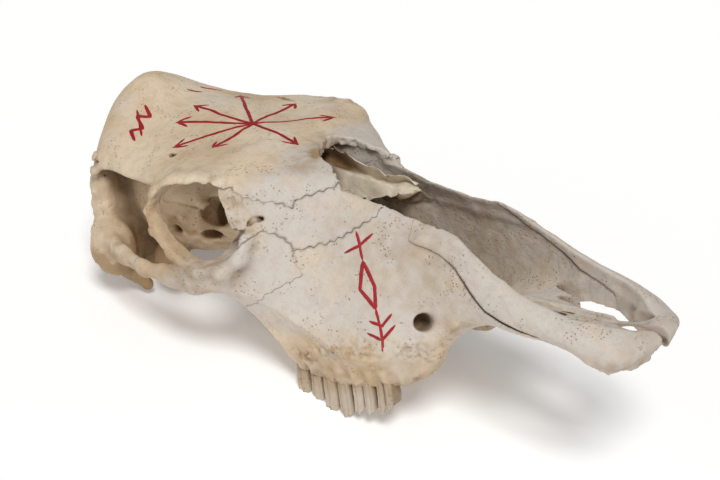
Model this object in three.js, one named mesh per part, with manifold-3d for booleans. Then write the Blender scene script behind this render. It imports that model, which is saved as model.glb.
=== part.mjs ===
// Skull of a polled cow without its lower jaw, nasal bones or front premolars, life size, as it lies on a
// level surface: on its last cheek teeth and on the condyles of its joint with the neck.
// The skull is one implicit solid, shaped in its own frame (x to the nose, y to the animal's left, z up from
// the edge of the tooth sockets, all in millimetres), meshed, thinned to few triangles, parted along its
// sutures by narrow gaps, and then pitched back into the pose it rests in.
import * as THREE from "three";
import Module from "manifold-3d";

const wasm = await Module();
wasm.setup();

// Driving sizes
const SUTURE_GAP = 0.3; // between two bones
const CELL = 4; // side of a cell of the grid that the skull is meshed on
const SKULL_TRIANGLES = 7600; // left after thinning, before the bones are parted
const REST_PITCH = 20.4; // degrees, nose up: tilts the last molars and the joint with the neck to one level
const FLAT_DEPTH = 0.8; // worn off what stands on the floor
const BONE_COLOR = 0xd8c8a8;
const TURBINATE_COLOR = 0xcdb892;

// Lines along the head: stations of x with the half width w and the height z that the line has there
const RIM = [ // upper edge of the flank, and from x = 8 on the edge of the nasal opening
  [-60, 80, 158], [-30, 64, 150], [8, 31, 139], [20, 30, 135], [50, 28, 124], [83, 29, 115], [100, 31, 112],
  [110, 33, 107], [122, 36, 97], [134, 39, 88], [148, 41, 78], [168, 41, 67], [185, 40, 60], [212, 34, 50],
  [225, 27, 43], [240, 10, 38],
];
const CREST = [ // widest line of the flank: facial crest, facial tuber, side of the muzzle
  [-60, 100, 84], [-30, 88, 70], [0, 82, 50], [25, 78, 34], [45, 75, 27], [75, 58, 32], [92, 50, 38],
  [120, 44, 54], [148, 44, 48], [168, 43, 44], [190, 43, 38], [211, 41, 27], [228, 33, 29], [240, 14, 34],
];
const EDGE = [ // lower edge: sockets of the cheek teeth, toothless margin, body of the premaxilla
  [-60, 60, 26], [-30, 66, 8], [15, 68, 0], [60, 61, 2], [78, 54, 10], [92, 47, 27], [106, 38, 39],
  [122, 35, 43], [140, 33, 38], [165, 32, 34], [188, 32, 33], [198, 33, 26], [208, 33, 17], [222, 26, 18],
  [232, 16, 23], [240, 8, 29],
];
// Roof: middle profile [x, z], half width seen from above [x, w], and how far the edge lies below the middle
const ROOF_PROFILE = [[-215, 188], [-190, 188], [-150, 180.5], [-100, 172], [-60, 165], [-27, 156], [10, 148]];
const ROOF_WIDTH = [
  [-213, 30], [-207, 45], [-200, 58], [-192, 69], [-184, 75], [-165, 77], [-140, 81], [-120, 93], [-106, 100],
  [-90, 99], [-75, 96], [-55, 88], [-30, 66], [10, 36],
];
const ROOF_DROP = [
  [-213, 16], [-190, 19], [-150, 17], [-120, 17], [-100, 13], [-75, 7], [-48, 6], [-27, 7], [10, 8],
];
// Nasal cavity: half width [x, w] and floor [x, z]
const CAVITY_WIDTH = [
  [-55, 20], [-20, 26], [8, 30], [50, 33], [85, 34], [148, 36], [188, 34], [222, 20], [250, 8],
];
const CAVITY_FLOOR = [
  [-55, 70], [-20, 42], [50, 42], [100, 48], [122, 51], [150, 48], [200, 40], [225, 39], [250, 40],
];
// Underside: height of the palate between the tooth rows and between the toothless margins
const PALATE = [[-60, 30], [-30, 16], [60, 15], [100, 38], [122, 42], [140, 41], [185, 34], [215, 29], [240, 32]];
// Opening of the orbit, clockwise from its upper front corner: [x, w, z] on the edge itself, and the radius
// of the rounded rim outside it, which is thin above and in front
const ORBIT_RIM = [
  [-53, 82, 154, 3.5], [-70, 90, 159, 3.5], [-88, 95, 158, 3.5], [-101, 99, 152, 4.5], [-105, 102, 141, 5.5],
  [-101, 104, 126, 6], [-88, 105, 112, 6.5], [-69, 106, 102, 6.5], [-52, 103, 101, 6.5], [-41, 96, 107, 6],
  [-36, 89, 117, 4.5], [-44, 85, 126, 3.5], [-53, 83, 139, 3.5],
];
const EYE = [-73, 130]; // middle of the orbit [x, z]
// Centre line and radius of that rim, closed
const ORBIT_RING = [...ORBIT_RIM, ORBIT_RIM[0]].map(([x, w, z, radius]) => {
  const out = radius / Math.hypot(x - EYE[0], z - EYE[1]);
  return [x + (x - EYE[0]) * out, w - radius / 2, z + (z - EYE[1]) * out, radius];
});

// Value at x of a line given by stations, smooth and without overshoot
function along(stations, x, column = 1) {
  const last = stations.length - 1;
  if (x <= stations[0][0]) return stations[0][column];
  if (x >= stations[last][0]) return stations[last][column];
  let i = 0;
  while (x > stations[i + 1][0]) i++;
  const slope = (j) => {
    if (j <= 0 || j >= last) return 0;
    const before = (stations[j][column] - stations[j - 1][column]) / (stations[j][0] - stations[j - 1][0]);
    const after = (stations[j + 1][column] - stations[j][column]) / (stations[j + 1][0] - stations[j][0]);
    return before * after <= 0 ? 0 : (2 * before * after) / (before + after);
  };
  const [a, b] = [stations[i], stations[i + 1]];
  const step = b[0] - a[0];
  const t = (x - a[0]) / step;
  const [s0, s1] = [
    i === 0 ? (b[column] - a[column]) / step : slope(i),
    i + 1 === last ? (b[column] - a[column]) / step : slope(i + 1),
  ];
  return (
    a[column] * (1 + 2 * t) * (1 - t) ** 2 + s0 * step * t * (1 - t) ** 2 +
    b[column] * t * t * (3 - 2 * t) + s1 * step * t * t * (t - 1)
  );
}

// Building blocks of the field: below zero inside, in millimetres
const smoothMin = (a, b, k) => {
  const h = Math.max(k - Math.abs(a - b), 0) / k;
  return Math.min(a, b) - h * h * k * 0.25;
};
const smoothMax = (a, b, k) => -smoothMin(-a, -b, k);
const clamp = THREE.MathUtils.clamp;
const mix = THREE.MathUtils.lerp;
function ellipsoid(x, w, z, [cx, cw, cz], [rx, rw, rz]) {
  const [dx, dw, dz] = [x - cx, w - cw, z - cz];
  const k0 = Math.hypot(dx / rx, dw / rw, dz / rz);
  const k1 = Math.hypot(dx / (rx * rx), dw / (rw * rw), dz / (rz * rz));
  return k1 < 1e-9 ? -Math.min(rx, rw, rz) : (k0 * (k0 - 1)) / k1;
}
// Bar from a to b, [x, w, z, radius] each, flattened to `flat` of its height across w
function bar(x, w, z, a, b, flat = 1) {
  const [bx, bw, bz] = [b[0] - a[0], b[1] - a[1], b[2] - a[2]];
  const [px, pw, pz] = [x - a[0], w - a[1], z - a[2]];
  const t = clamp((px * bx + pw * bw + pz * bz) / (bx * bx + bw * bw + bz * bz), 0, 1);
  const [dx, dw, dz] = [px - bx * t, (pw - bw * t) / flat, pz - bz * t];
  return (Math.hypot(dx, dw, dz) - mix(a[3], b[3], t)) * (flat < 1 ? (1 + flat) / 2 : 1);
}
function chain(x, w, z, points, flat = 1, k = 6) {
  let d = 1e3;
  for (let i = 0; i + 1 < points.length; i++) d = smoothMin(d, bar(x, w, z, points[i], points[i + 1], flat), k);
  return d;
}

// Distance from a point of the side view to a closed outline [x, z], below zero inside
function outlineDistance(x, z, outline) {
  let nearest = Infinity;
  let inside = false;
  outline.forEach(([bx, bz], i) => {
    const [ax, az] = outline.at(i - 1);
    const [ex, ez] = [bx - ax, bz - az];
    const t = clamp(((x - ax) * ex + (z - az) * ez) / (ex * ex + ez * ez), 0, 1);
    nearest = Math.min(nearest, Math.hypot(x - ax - ex * t, z - az - ez * t));
    if (az > z !== bz > z && x < ax + ((z - az) * ex) / ez) inside = !inside;
  });
  return inside ? -nearest : nearest;
}

// Face from the orbits to the nose, without its cavities
function face(x, w, z) {
  const [rimW, rimZ] = [along(RIM, x, 1), along(RIM, x, 2)];
  const [crestW, crestZ] = [along(CREST, x, 1), along(CREST, x, 2)];
  const [edgeW, edgeZ] = [along(EDGE, x, 1), along(EDGE, x, 2)];
  const up = clamp((z - crestZ) / (rimZ - crestZ), 0, 1.3);
  const down = clamp((crestZ - z) / (crestZ - edgeZ), 0, 1.3);
  const upper = mix(crestW, rimW, up) + 20 * up * Math.max(1 - up, -0.2);
  const lower = mix(crestW, edgeW, down) - 8 * down * Math.max(1 - down, -0.2);
  const flank = (w - (z > crestZ ? upper : lower)) * 0.9;
  const top = z - (rimZ + 0.6 * clamp(rimW - w, 0, 30) * (x < 8 ? 0.3 : 0.1));
  const bottom = edgeZ - z;
  const back = -34 - 0.36 * clamp(z, -10, 90) - x;
  return smoothMax(smoothMax(smoothMax(flank, top, 7), bottom, 9), smoothMax(back, x - 240, 1), 10);
}

// Frontal bone: the broad roof with the poll, as a plate that thins out over the orbits
function roof(x, w, z) {
  const middle = along(ROOF_PROFILE, x);
  const width = along(ROOF_WIDTH, x);
  const out = Math.min(w / width, 1.2);
  const sink = along(ROOF_DROP, x) * out ** 3;
  const poll = 23 * Math.exp(-(((x + 190) / 27) ** 2) - (w / 40) ** 2);
  const over = (z - (middle - sink + poll)) * 0.97;
  const under = middle - sink - mix(34, 9, clamp(out, 0, 1)) - z;
  return smoothMax(smoothMax(over, (w - width) * 0.85, 9), smoothMax(under, Math.max(-212 - x, x - 12), 10), 7);
}

// Braincase between the temporal fossae, the nape and the base of the skull
function braincase(x, w, z) {
  let d = ellipsoid(x, w, z, [-148, 0, 128], [70, 58, 56]);
  d = smoothMin(d, ellipsoid(x, w, z, [-85, 0, 122], [56, 36, 44]), 20);
  // Nape: an upright shield behind the braincase, widest at the ears
  const half = mix(86, 70, clamp((z - 100) / 65, 0, 1)) - 0.4 * clamp(92 - z, 0, 40);
  const lean = -198 - 0.05 * (z - 120) + 0.0012 * w * w;
  const crown = 178 - 0.004 * w * w;
  const sides = smoothMax((w - half) * 0.9, Math.abs(x - lean) - 9, 8);
  d = smoothMin(d, smoothMax(sides, Math.max(z - crown, 72 - z), 12), 14);
  // Base: from the joint with the neck to the roots of the pterygoids
  return smoothMin(d, bar(x, w, z, [-208, 0, 82, 20], [-95, 0, 86, 15]), 14);
}

// Ear region, zygomatic arch, and the raised rim all round the orbit
function arch(x, w, z) {
  let d = chain(x, w, z, [[-92, 106, 90, 8], [-125, 104, 93, 8], [-152, 97, 99, 9], [-178, 84, 100, 12]], 0.6, 6);
  d = smoothMin(d, chain(x, w, z, [[-58, 98, 90, 11], [-78, 103, 90, 11], [-98, 105, 92, 8]], 0.6, 6), 6);
  d = smoothMin(d, ellipsoid(x, w, z, [-186, 76, 96], [17, 17, 22]), 10);
  return smoothMin(d, chain(x, w, z, ORBIT_RING, 1, 4), 7);
}

// What stands out below: condyles, jugular processes, ear capsules, pterygoid plates
function underparts(x, w, z) {
  let d = smoothMin(
    ellipsoid(x, w, z, [-214, 30, 82], [14, 15, 21]),
    ellipsoid(x, w, z, [-204, 20, 70], [15, 14, 11]), 8,
  );
  d = smoothMin(d, chain(x, w, z, [[-198, 64, 92, 14], [-189, 60, 72, 9], [-181, 56, 58, 5.5]], 0.8, 6), 8);
  d = smoothMin(d, ellipsoid(x, w, z, [-160, 44, 74], [17, 12, 17]), 6);
  const plate = Math.abs(w - 23 - 0.03 * (x + 60)) - 3.2;
  return smoothMin(d, smoothMax(plate, ellipsoid(x, 0, z, [-66, 0, 62], [48, 99, 42]), 4), 5);
}

// Hollows
// The orbit narrows inwards from its opening, and runs on as a cone towards the brain
function orbit(x, w, z) {
  const opening = outlineDistance(x, z, ORBIT_RIM.map((p) => [p[0], p[2]]));
  const socket = smoothMax(opening + 0.35 * Math.max(86 - w, 0), 56 - w, 10);
  const cone = bar(x, w, z, [-74, 84, 128, 25], [-100, 46, 116, 14]);
  return smoothMin(socket, cone, 8);
}
function temporalFossa(x, w, z) {
  const trough = smoothMin(
    bar(x, w, z, [-176, 96, 136, 24], [-122, 100, 138, 23]),
    bar(x, w, z, [-165, 98, 118, 22], [-118, 94, 112, 22]), 12,
  );
  // Floor of the orbit, open downwards behind the tooth row
  return smoothMin(trough, bar(x, w, z, [-104, 76, 96, 22], [-62, 56, 62, 20]), 14);
}
// The nasal cavity opens upwards in front of a notch in the roof, and runs on under the roof behind it
function nasalCavity(x, w, z) {
  const mouth = along(RIM, x, 1) - 3.5 + 0.5 * Math.max(along(RIM, x, 2) - z, 0);
  const side = (w - smoothMin(along(CAVITY_WIDTH, x), mouth, 6)) * 0.9;
  const floor = along(CAVITY_FLOOR, x) - z;
  const notch = smoothMin(-27 + 1.03 * w - x, z - (144 - 0.2 * (x + 27)), 2);
  return smoothMax(smoothMax(side, floor, 22), smoothMax(-58 - x, notch, 4), 4);
}
function choana(x, w, z) {
  return smoothMax(smoothMax(w - 19, Math.max(-108 - x, x + 34), 8), z - 68, 10);
}
function palateVault(x, w, z) {
  const inside = along(EDGE, x, 1) - (x < 75 ? 24 : mix(24, 9, clamp((x - 75) / 20, 0, 1)));
  return smoothMax(smoothMax(w - inside, z - along(PALATE, x), 8), -60 - x, 6);
}
function palatineFissure(x, w, z) {
  const t = clamp((x - 148) / 76, 0, 1);
  const side = Math.abs(w - mix(14, 8, t)) - 5.5 * Math.sin(Math.PI * clamp(t, 0.02, 0.98)) ** 0.6;
  return Math.max(side, z - 62, Math.abs(x - 186) - 38);
}
function foramenMagnum(x, w, z) {
  return bar(x, w, z, [-240, 0, 91, 18], [-186, 0, 96, 15]);
}
// Sockets of the two lost front teeth and the opening of the infraorbital canal
function pits(x, w, z) {
  const sockets = Math.min(
    ellipsoid(x, w, z, [71, 55, 1], [5.5, 6, 10]),
    ellipsoid(x, w, z, [84, 51, 10], [4.5, 5, 9]),
  );
  return Math.min(sockets, bar(x, w, z, [84, 60, 50, 5.5], [66, 46, 48, 5]));
}

// The whole skull's field at a point
function skull(x, y, z) {
  const w = Math.abs(y);
  let d = smoothMin(roof(x, w, z), braincase(x, w, z), 14);
  d = smoothMin(d, face(x, w, z), 10);
  d = smoothMin(d, underparts(x, w, z), 8);
  d = smoothMax(d, -temporalFossa(x, w, z), 8);
  d = smoothMin(d, arch(x, w, z), 7);
  d = smoothMax(d, -orbit(x, w, z), 3);
  d = smoothMax(d, -nasalCavity(x, w, z), 3);
  d = smoothMax(d, -palateVault(x, w, z), 6);
  d = smoothMax(d, -choana(x, w, z), 5);
  d = smoothMax(d, -palatineFissure(x, w, z), 1.5);
  d = smoothMax(d, -pits(x, w, z), 2);
  return smoothMax(d, -foramenMagnum(x, w, z), 4);
}

// Meshing by marching tetrahedra: each cell is six tetrahedra round its long diagonal, so that the surface
// closes on itself whatever the field does
const CORNERS = [[0, 0, 0], [1, 0, 0], [1, 1, 0], [0, 1, 0], [0, 0, 1], [1, 0, 1], [1, 1, 1], [0, 1, 1]];
const TETRAHEDRA = [[0, 5, 1, 6], [0, 1, 2, 6], [0, 2, 3, 6], [0, 3, 7, 6], [0, 7, 4, 6], [0, 4, 5, 6]];
function meshOf(field, low, high, cell) {
  const count = low.map((v, i) => Math.ceil((high[i] - v) / cell) + 1);
  const at = (i, j, k) => (k * count[1] + j) * count[0] + i;
  const place = (n) => {
    const i = n % count[0];
    const j = Math.floor(n / count[0]) % count[1];
    const k = Math.floor(n / (count[0] * count[1]));
    return [low[0] + i * cell, low[1] + j * cell, low[2] + k * cell];
  };
  // The field is the same on both sides, so one side is worked out and copied
  const values = new Float64Array(count[0] * count[1] * count[2]);
  for (let n = 0; n < values.length; n++) {
    const j = Math.floor(n / count[0]) % count[1];
    const twin = n + (count[1] - 1 - 2 * j) * count[0];
    values[n] = twin < n ? values[twin] : field(...place(n)) || 1e-9;
  }
  const vertices = [];
  const triangles = [];
  const crossings = new Map();
  const cross = (a, b) => {
    const key = a < b ? a * values.length + b : b * values.length + a;
    if (!crossings.has(key)) {
      const [p, q] = [place(a), place(b)];
      const t = clamp(values[a] / (values[a] - values[b]), 0.02, 0.98);
      crossings.set(key, vertices.length);
      vertices.push(p.map((v, i) => v + (q[i] - v) * t));
    }
    return crossings.get(key);
  };
  // inside and outside are corner lists of one tetrahedron; `turned` says if its corners run the other way
  const emit = (a, b, c, turned) => triangles.push(turned ? [a, c, b] : [a, b, c]);
  for (let k = 0; k + 1 < count[2]; k++)
    for (let j = 0; j + 1 < count[1]; j++)
      for (let i = 0; i + 1 < count[0]; i++) {
        const corner = CORNERS.map(([a, b, c]) => at(i + a, j + b, k + c));
        const inside = corner.filter((n) => values[n] < 0).length;
        if (inside === 0 || inside === 8) continue;
        for (const four of TETRAHEDRA) {
          const v = four.map((n) => corner[n]);
          const ins = [0, 1, 2, 3].filter((n) => values[v[n]] < 0);
          const outs = [0, 1, 2, 3].filter((n) => values[v[n]] >= 0);
          if (ins.length === 1 || ins.length === 3) {
            const apex = ins.length === 1 ? ins[0] : outs[0];
            const rest = [0, 1, 2, 3].filter((n) => n !== apex);
            const [a, b, c] = rest.map((n) => cross(v[apex], v[n]));
            emit(a, b, c, (apex % 2 === 1) !== (ins.length === 3));
          } else if (ins.length === 2) {
            const [p, q] = ins;
            const [r, s] = outs;
            const [pr, ps, qs, qr] = [[p, r], [p, s], [q, s], [q, r]].map(([m, n]) => cross(v[m], v[n]));
            const swaps = (order) => order.filter(([m, n]) => m > n).length;
            const turned = swaps([[p, q], [p, r], [p, s], [q, r], [q, s], [r, s]]) % 2 === 1;
            emit(pr, ps, qs, turned);
            emit(pr, qs, qr, turned);
          }
        }
      }
  return { vertices, triangles };
}

// Thinning: the edge whose loss changes the surface least goes first, until `target` triangles are left
function thin({ vertices, triangles }, target) {
  const points = vertices.map((p) => [...p]);
  const faces = triangles.map((t) => [...t]);
  const quadrics = points.map(() => new Float64Array(10));
  const around = points.map(() => new Set());
  const stamps = new Int32Array(points.length);
  const normalOf = (p, q, r) => {
    const [ux, uy, uz] = [q[0] - p[0], q[1] - p[1], q[2] - p[2]];
    const [vx, vy, vz] = [r[0] - p[0], r[1] - p[1], r[2] - p[2]];
    return [uy * vz - uz * vy, uz * vx - ux * vz, ux * vy - uy * vx];
  };
  faces.forEach((face, n) => {
    const [p, q, r] = face.map((v) => points[v]);
    const normal = normalOf(p, q, r);
    const area = Math.hypot(...normal) || 1e-12;
    const [a, b, c] = normal.map((v) => v / area);
    const d = -(a * p[0] + b * p[1] + c * p[2]);
    const terms = [a * a, a * b, a * c, a * d, b * b, b * c, b * d, c * c, c * d, d * d];
    for (const v of face) {
      around[v].add(n);
      for (let i = 0; i < 10; i++) quadrics[v][i] += terms[i] * area;
    }
  });
  // Best place for the vertex that an edge shrinks to, held a little to the middle of the edge, and its cost
  const plan = (u, v) => {
    const q = quadrics[u].map((value, i) => value + quadrics[v][i]);
    const middle = points[u].map((value, i) => (value + points[v][i]) / 2);
    const hold = 0.002 * (q[0] + q[4] + q[7]) + 1e-9;
    const [a, b, c, e, f, i] = [q[0] + hold, q[1], q[2], q[4] + hold, q[5], q[7] + hold];
    const [x, y, z] = [hold * middle[0] - q[3], hold * middle[1] - q[6], hold * middle[2] - q[8]];
    const det = a * (e * i - f * f) - b * (b * i - c * f) + c * (b * f - c * e);
    const spot = [
      (x * (e * i - f * f) - b * (y * i - f * z) + c * (y * f - e * z)) / det,
      (a * (y * i - f * z) - x * (b * i - c * f) + c * (b * z - y * c)) / det,
      (a * (e * z - y * f) - b * (b * z - y * c) + x * (b * f - e * c)) / det,
    ];
    const [px, py, pz] = spot;
    const error = q[0] * px * px + 2 * q[1] * px * py + 2 * q[2] * px * pz + 2 * q[3] * px + q[4] * py * py +
      2 * q[5] * py * pz + 2 * q[6] * py + q[7] * pz * pz + 2 * q[8] * pz + q[9];
    const length = Math.hypot(...points[u].map((value, n) => value - points[v][n]));
    return { spot, cost: error + 1e-4 * length * length * length };
  };
  const heap = [];
  const push = (item) => {
    let i = heap.push(item) - 1;
    while (i > 0) {
      const parent = (i - 1) >> 1;
      if (heap[parent].cost <= item.cost) break;
      heap[i] = heap[parent];
      i = parent;
    }
    heap[i] = item;
  };
  const pop = () => {
    const top = heap[0];
    const item = heap.pop();
    if (heap.length === 0) return top;
    let i = 0;
    for (;;) {
      let child = 2 * i + 1;
      if (child >= heap.length) break;
      if (child + 1 < heap.length && heap[child + 1].cost < heap[child].cost) child++;
      if (heap[child].cost >= item.cost) break;
      heap[i] = heap[child];
      i = child;
    }
    heap[i] = item;
    return top;
  };
  const offer = (u, v) => push({ ...plan(u, v), u, v, stamp: stamps[u] + stamps[v] });
  const neighbours = (v) => {
    const found = new Set();
    for (const n of around[v]) for (const other of faces[n]) if (other !== v) found.add(other);
    return found;
  };
  for (let v = 0; v < points.length; v++) for (const other of neighbours(v)) if (v < other) offer(v, other);
  let left = faces.length;
  while (left > target && heap.length > 0) {
    const { spot, u, v, stamp } = pop();
    if (!points[u] || !points[v] || stamp !== stamps[u] + stamps[v]) continue;
    const [nearU, nearV] = [neighbours(u), neighbours(v)];
    if (!nearU.has(v) || [...nearU].filter((n) => nearV.has(n)).length !== 2) continue;
    const turns = (n) => {
      if (faces[n].includes(u) && faces[n].includes(v)) return false;
      const before = normalOf(...faces[n].map((m) => points[m]));
      const after = normalOf(...faces[n].map((m) => (m === u || m === v ? spot : points[m])));
      const [sizeBefore, sizeAfter] = [Math.hypot(...before), Math.hypot(...after)];
      const turn = before[0] * after[0] + before[1] * after[1] + before[2] * after[2];
      return sizeAfter < 1e-3 || turn < 0.3 * sizeBefore * sizeAfter;
    };
    if ([...around[u], ...around[v]].some(turns)) continue;
    for (const n of around[v]) {
      if (faces[n].includes(u)) {
        for (const m of faces[n]) if (m !== v) around[m].delete(n);
        faces[n] = null;
        left--;
      } else {
        faces[n] = faces[n].map((m) => (m === v ? u : m));
        around[u].add(n);
      }
    }
    quadrics[u] = quadrics[u].map((value, i) => value + quadrics[v][i]);
    points[u] = spot;
    points[v] = null;
    stamps[u] += 1 + stamps[v];
    for (const other of neighbours(u)) offer(u, other);
  }
  const renamed = new Map();
  points.forEach((p, n) => p && around[n].size > 0 && renamed.set(n, renamed.size));
  return {
    vertices: [...renamed.keys()].map((n) => points[n]),
    triangles: faces.filter((t) => t).map((t) => t.map((v) => renamed.get(v))),
  };
}

// Closed shape through rings of equally many points each, its two ends filled flat
function loft(rings) {
  const count = rings[0].length;
  const triangles = [];
  for (let i = 0; i + 1 < rings.length; i++)
    for (let j = 0; j < count; j++) {
      const [a, b] = [i * count + j, i * count + ((j + 1) % count)];
      triangles.push([a, b, b + count], [a, b + count, a + count]);
    }
  // The ends are filled as seen along the axis in which the rings are narrowest
  const span = (n) => Math.max(...rings[0].map((p) => p[n])) - Math.min(...rings[0].map((p) => p[n]));
  const [first, second] = [0, 1, 2].sort((m, n) => span(n) - span(m));
  const fill = (ring, start, turned) => {
    const flat = ring.map((p) => new THREE.Vector2(p[first], p[second]));
    const ringTurn = THREE.ShapeUtils.area(flat) > 0;
    for (const face of THREE.ShapeUtils.triangulateShape(flat, [])) {
      const sameTurn = THREE.ShapeUtils.area(face.map((n) => flat[n])) > 0 === ringTurn;
      const [a, b, c] = face.map((n) => n + start);
      triangles.push(sameTurn !== turned ? [a, b, c] : [a, c, b]);
    }
  };
  fill(rings[0], 0, true);
  fill(rings[rings.length - 1], (rings.length - 1) * count, false);
  return outwards({ vertices: rings.flat(), triangles });
}

// The same shape with its faces looking out, whichever way its rings ran
function outwards({ vertices, triangles }) {
  let volume = 0;
  for (const face of triangles) {
    const [p, q, r] = face.map((n) => vertices[n]);
    volume += p[0] * (q[1] * r[2] - q[2] * r[1]);
    volume += p[1] * (q[2] * r[0] - q[0] * r[2]);
    volume += p[2] * (q[0] * r[1] - q[1] * r[0]);
  }
  return { vertices, triangles: volume > 0 ? triangles : triangles.map(([a, b, c]) => [a, c, b]) };
}

// Solid of a shape drawn in the skull's own frame, pitched back into the pose at rest
const pitch = THREE.MathUtils.degToRad(REST_PITCH);
const posed = ([x, y, z]) => [
  x * Math.cos(pitch) - z * Math.sin(pitch),
  y,
  x * Math.sin(pitch) + z * Math.cos(pitch),
];
function solidOf({ vertices, triangles }, pose = posed) {
  const mesh = new wasm.Mesh({
    numProp: 3,
    vertProperties: new Float32Array(vertices.map(pose).flat()),
    triVerts: new Uint32Array(triangles.flat()),
  });
  return new wasm.Manifold(mesh);
}

// Slab across the head between y0 and y1 with the side view `outline` [x, z], drawn in by `inset`
function slab(outline, y0, y1, inset) {
  const turn = THREE.ShapeUtils.area(outline.map(([x, z]) => new THREE.Vector2(x, z))) > 0 ? 1 : -1;
  const normalAt = (i) => {
    const [a, b] = [outline.at(i), outline[(i + 1) % outline.length]];
    const length = Math.hypot(b[0] - a[0], b[1] - a[1]);
    return [(-turn * (b[1] - a[1])) / length, (turn * (b[0] - a[0])) / length];
  };
  const drawn = outline.map(([x, z], i) => {
    const [n, m] = [normalAt(i - 1), normalAt(i)];
    const reach = inset / Math.max(1 + n[0] * m[0] + n[1] * m[1], 0.4);
    return [x + (n[0] + m[0]) * reach, z + (n[1] + m[1]) * reach];
  });
  return loft([y0 + inset, y1 - inset].map((y) => drawn.map(([x, z]) => [x, y, z])));
}

// Side views [x, z] of the bones, in the order in which they are taken from the skull; an outline may run
// over what an earlier bone has taken
const FRONTO_LACRIMAL = [
  [-52, 152], [-45, 152], [-40, 144], [-28, 138], [-18, 135], [-13, 129], [-10, 135], [0, 137], [11, 139], [14, 150],
];
const LACRIMO_ZYGOMATIC = [[-9, 102], [-12, 108], [-19, 115], [-28, 119], [-36, 112], [-47, 108], [-66, 106]];
const OUTLINES = {
  premaxilla: [
    [74, 140], [75, 106], [80, 103], [91, 98], [104, 89], [110, 75], [120, 66], [131, 56], [144, 50], [160, 44],
    [172, 38], [180, 24], [180, -10], [260, -10], [260, 140],
  ],
  lacrimal: [
    [-64, 146], ...FRONTO_LACRIMAL, [60, 150], [48, 126], [41, 118], [22, 108], [11, 104], ...LACRIMO_ZYGOMATIC,
  ],
  zygomatic: [
    ...LACRIMO_ZYGOMATIC, [-88, 112], [-92, 128], [-118, 128], [-118, 102], [-100, 84], [-112, 60], [-60, 60],
    [-36, 68], [-24, 76], [-11, 82], [-2, 86], [-6, 91],
  ],
  occipital: [[-260, 168], [-197, 168], [-192, 128], [-192, 100], [-172, 100], [-172, 40], [-260, 40]],
  temporal: [[-225, 134], [-186, 132], [-150, 124], [-118, 116], [-112, 102], [-98, 84], [-104, 50], [-225, 50]],
  frontal: [
    [-260, 240], [-260, 140], [-196, 140], [-190, 134], [-120, 130], [-88, 126], [-84, 134], [-64, 138],
    ...FRONTO_LACRIMAL, [14, 240],
  ],
  palatine: [[-122, 76], [-64, 76], [-56, 60], [-34, 46], [6, 46], [6, 5], [-66, 5], [-122, 10]],
  maxilla: [[-70, 50], [-57, 95], [-50, 160], [120, 160], [200, 60], [200, -30], [-70, -30]],
};

// Turbinate: a scroll of thin bone open to the side, from the ethmoid at the back of the nasal cavity
// forwards; stations are [x, w, z, radius], `extra` thickens the wall
const TURBINATE = [
  [-56, 11, 112, 8], [-40, 11, 120, 9.5], [-15, 10, 129, 10], [15, 9, 131, 9], [42, 8, 130, 7], [63, 8, 128, 3.5],
];
const TURBINATE_WALL = 2.2;
const SCROLL = { middle: 67.5, reach: 130.5, steps: 9, flat: 0.8 }; // degrees round the scroll, and its flatness
function turbinate(side, extra) {
  const wall = TURBINATE_WALL / 2 + extra;
  return loft(TURBINATE.map(([x, w, z, radius], i) => {
    const front = i === TURBINATE.length - 1 ? extra : 0;
    const at = (n, r) => {
      const turn = ((2 * n) / SCROLL.steps - 1) * SCROLL.reach * (1 + extra / radius);
      const angle = THREE.MathUtils.degToRad(SCROLL.middle + turn);
      return [x + front, side * (w - r * Math.cos(angle) * SCROLL.flat), z + r * Math.sin(angle)];
    };
    const steps = Array.from({ length: SCROLL.steps + 1 }, (_, n) => n);
    return [...steps.map((n) => at(n, radius + wall)), ...steps.toReversed().map((n) => at(n, radius - wall))];
  }));
}

// Vomer: blade on the floor of the nasal cavity, stations [x, bottom, top]
const VOMER = [
  [-62, 66, 78], [-34, 44, 64], [-20, 39, 58], [20, 38, 55], [60, 39, 54], [110, 46, 56], [150, 47, 55],
  [172, 46, 50],
];
const VOMER_THICKNESS = 3.4;
function vomer(extra) {
  return loft(VOMER.map(([x, bottom, top], i) => {
    const half = VOMER_THICKNESS / 2 + extra;
    const end = i === 0 ? -extra : i === VOMER.length - 1 ? extra : 0;
    return [[-half, bottom - extra], [half, bottom - extra], [half * 0.7, top + extra], [-half * 0.7, top + extra]]
      .map(([y, z]) => [x + end, y, z]);
  }));
}

// Upper cheek teeth [back, front, w of the middle, width, height of the worn face at the back and at the front]
const TEETH = [
  [-34, -9, 56.5, 19, -7, -14],
  [-8, 17.5, 58, 21, -19, -21],
  [18.5, 38, 57.5, 20, -17, -16],
  [39, 53, 57, 16, -16, -12],
];
// On the left side the two in front have fallen out, and the one behind them is worn short in front
const LEFT_TEETH = [[-34, -9, 56.5, 19, -7, -14], [-8, 17.5, 58, 21, -19, -12]];
const SOCKET_DEPTH = 12;
const WORN_SLOPE = 2.4; // by which the worn face lies lower on the side of the cheek than in its middle
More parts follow.
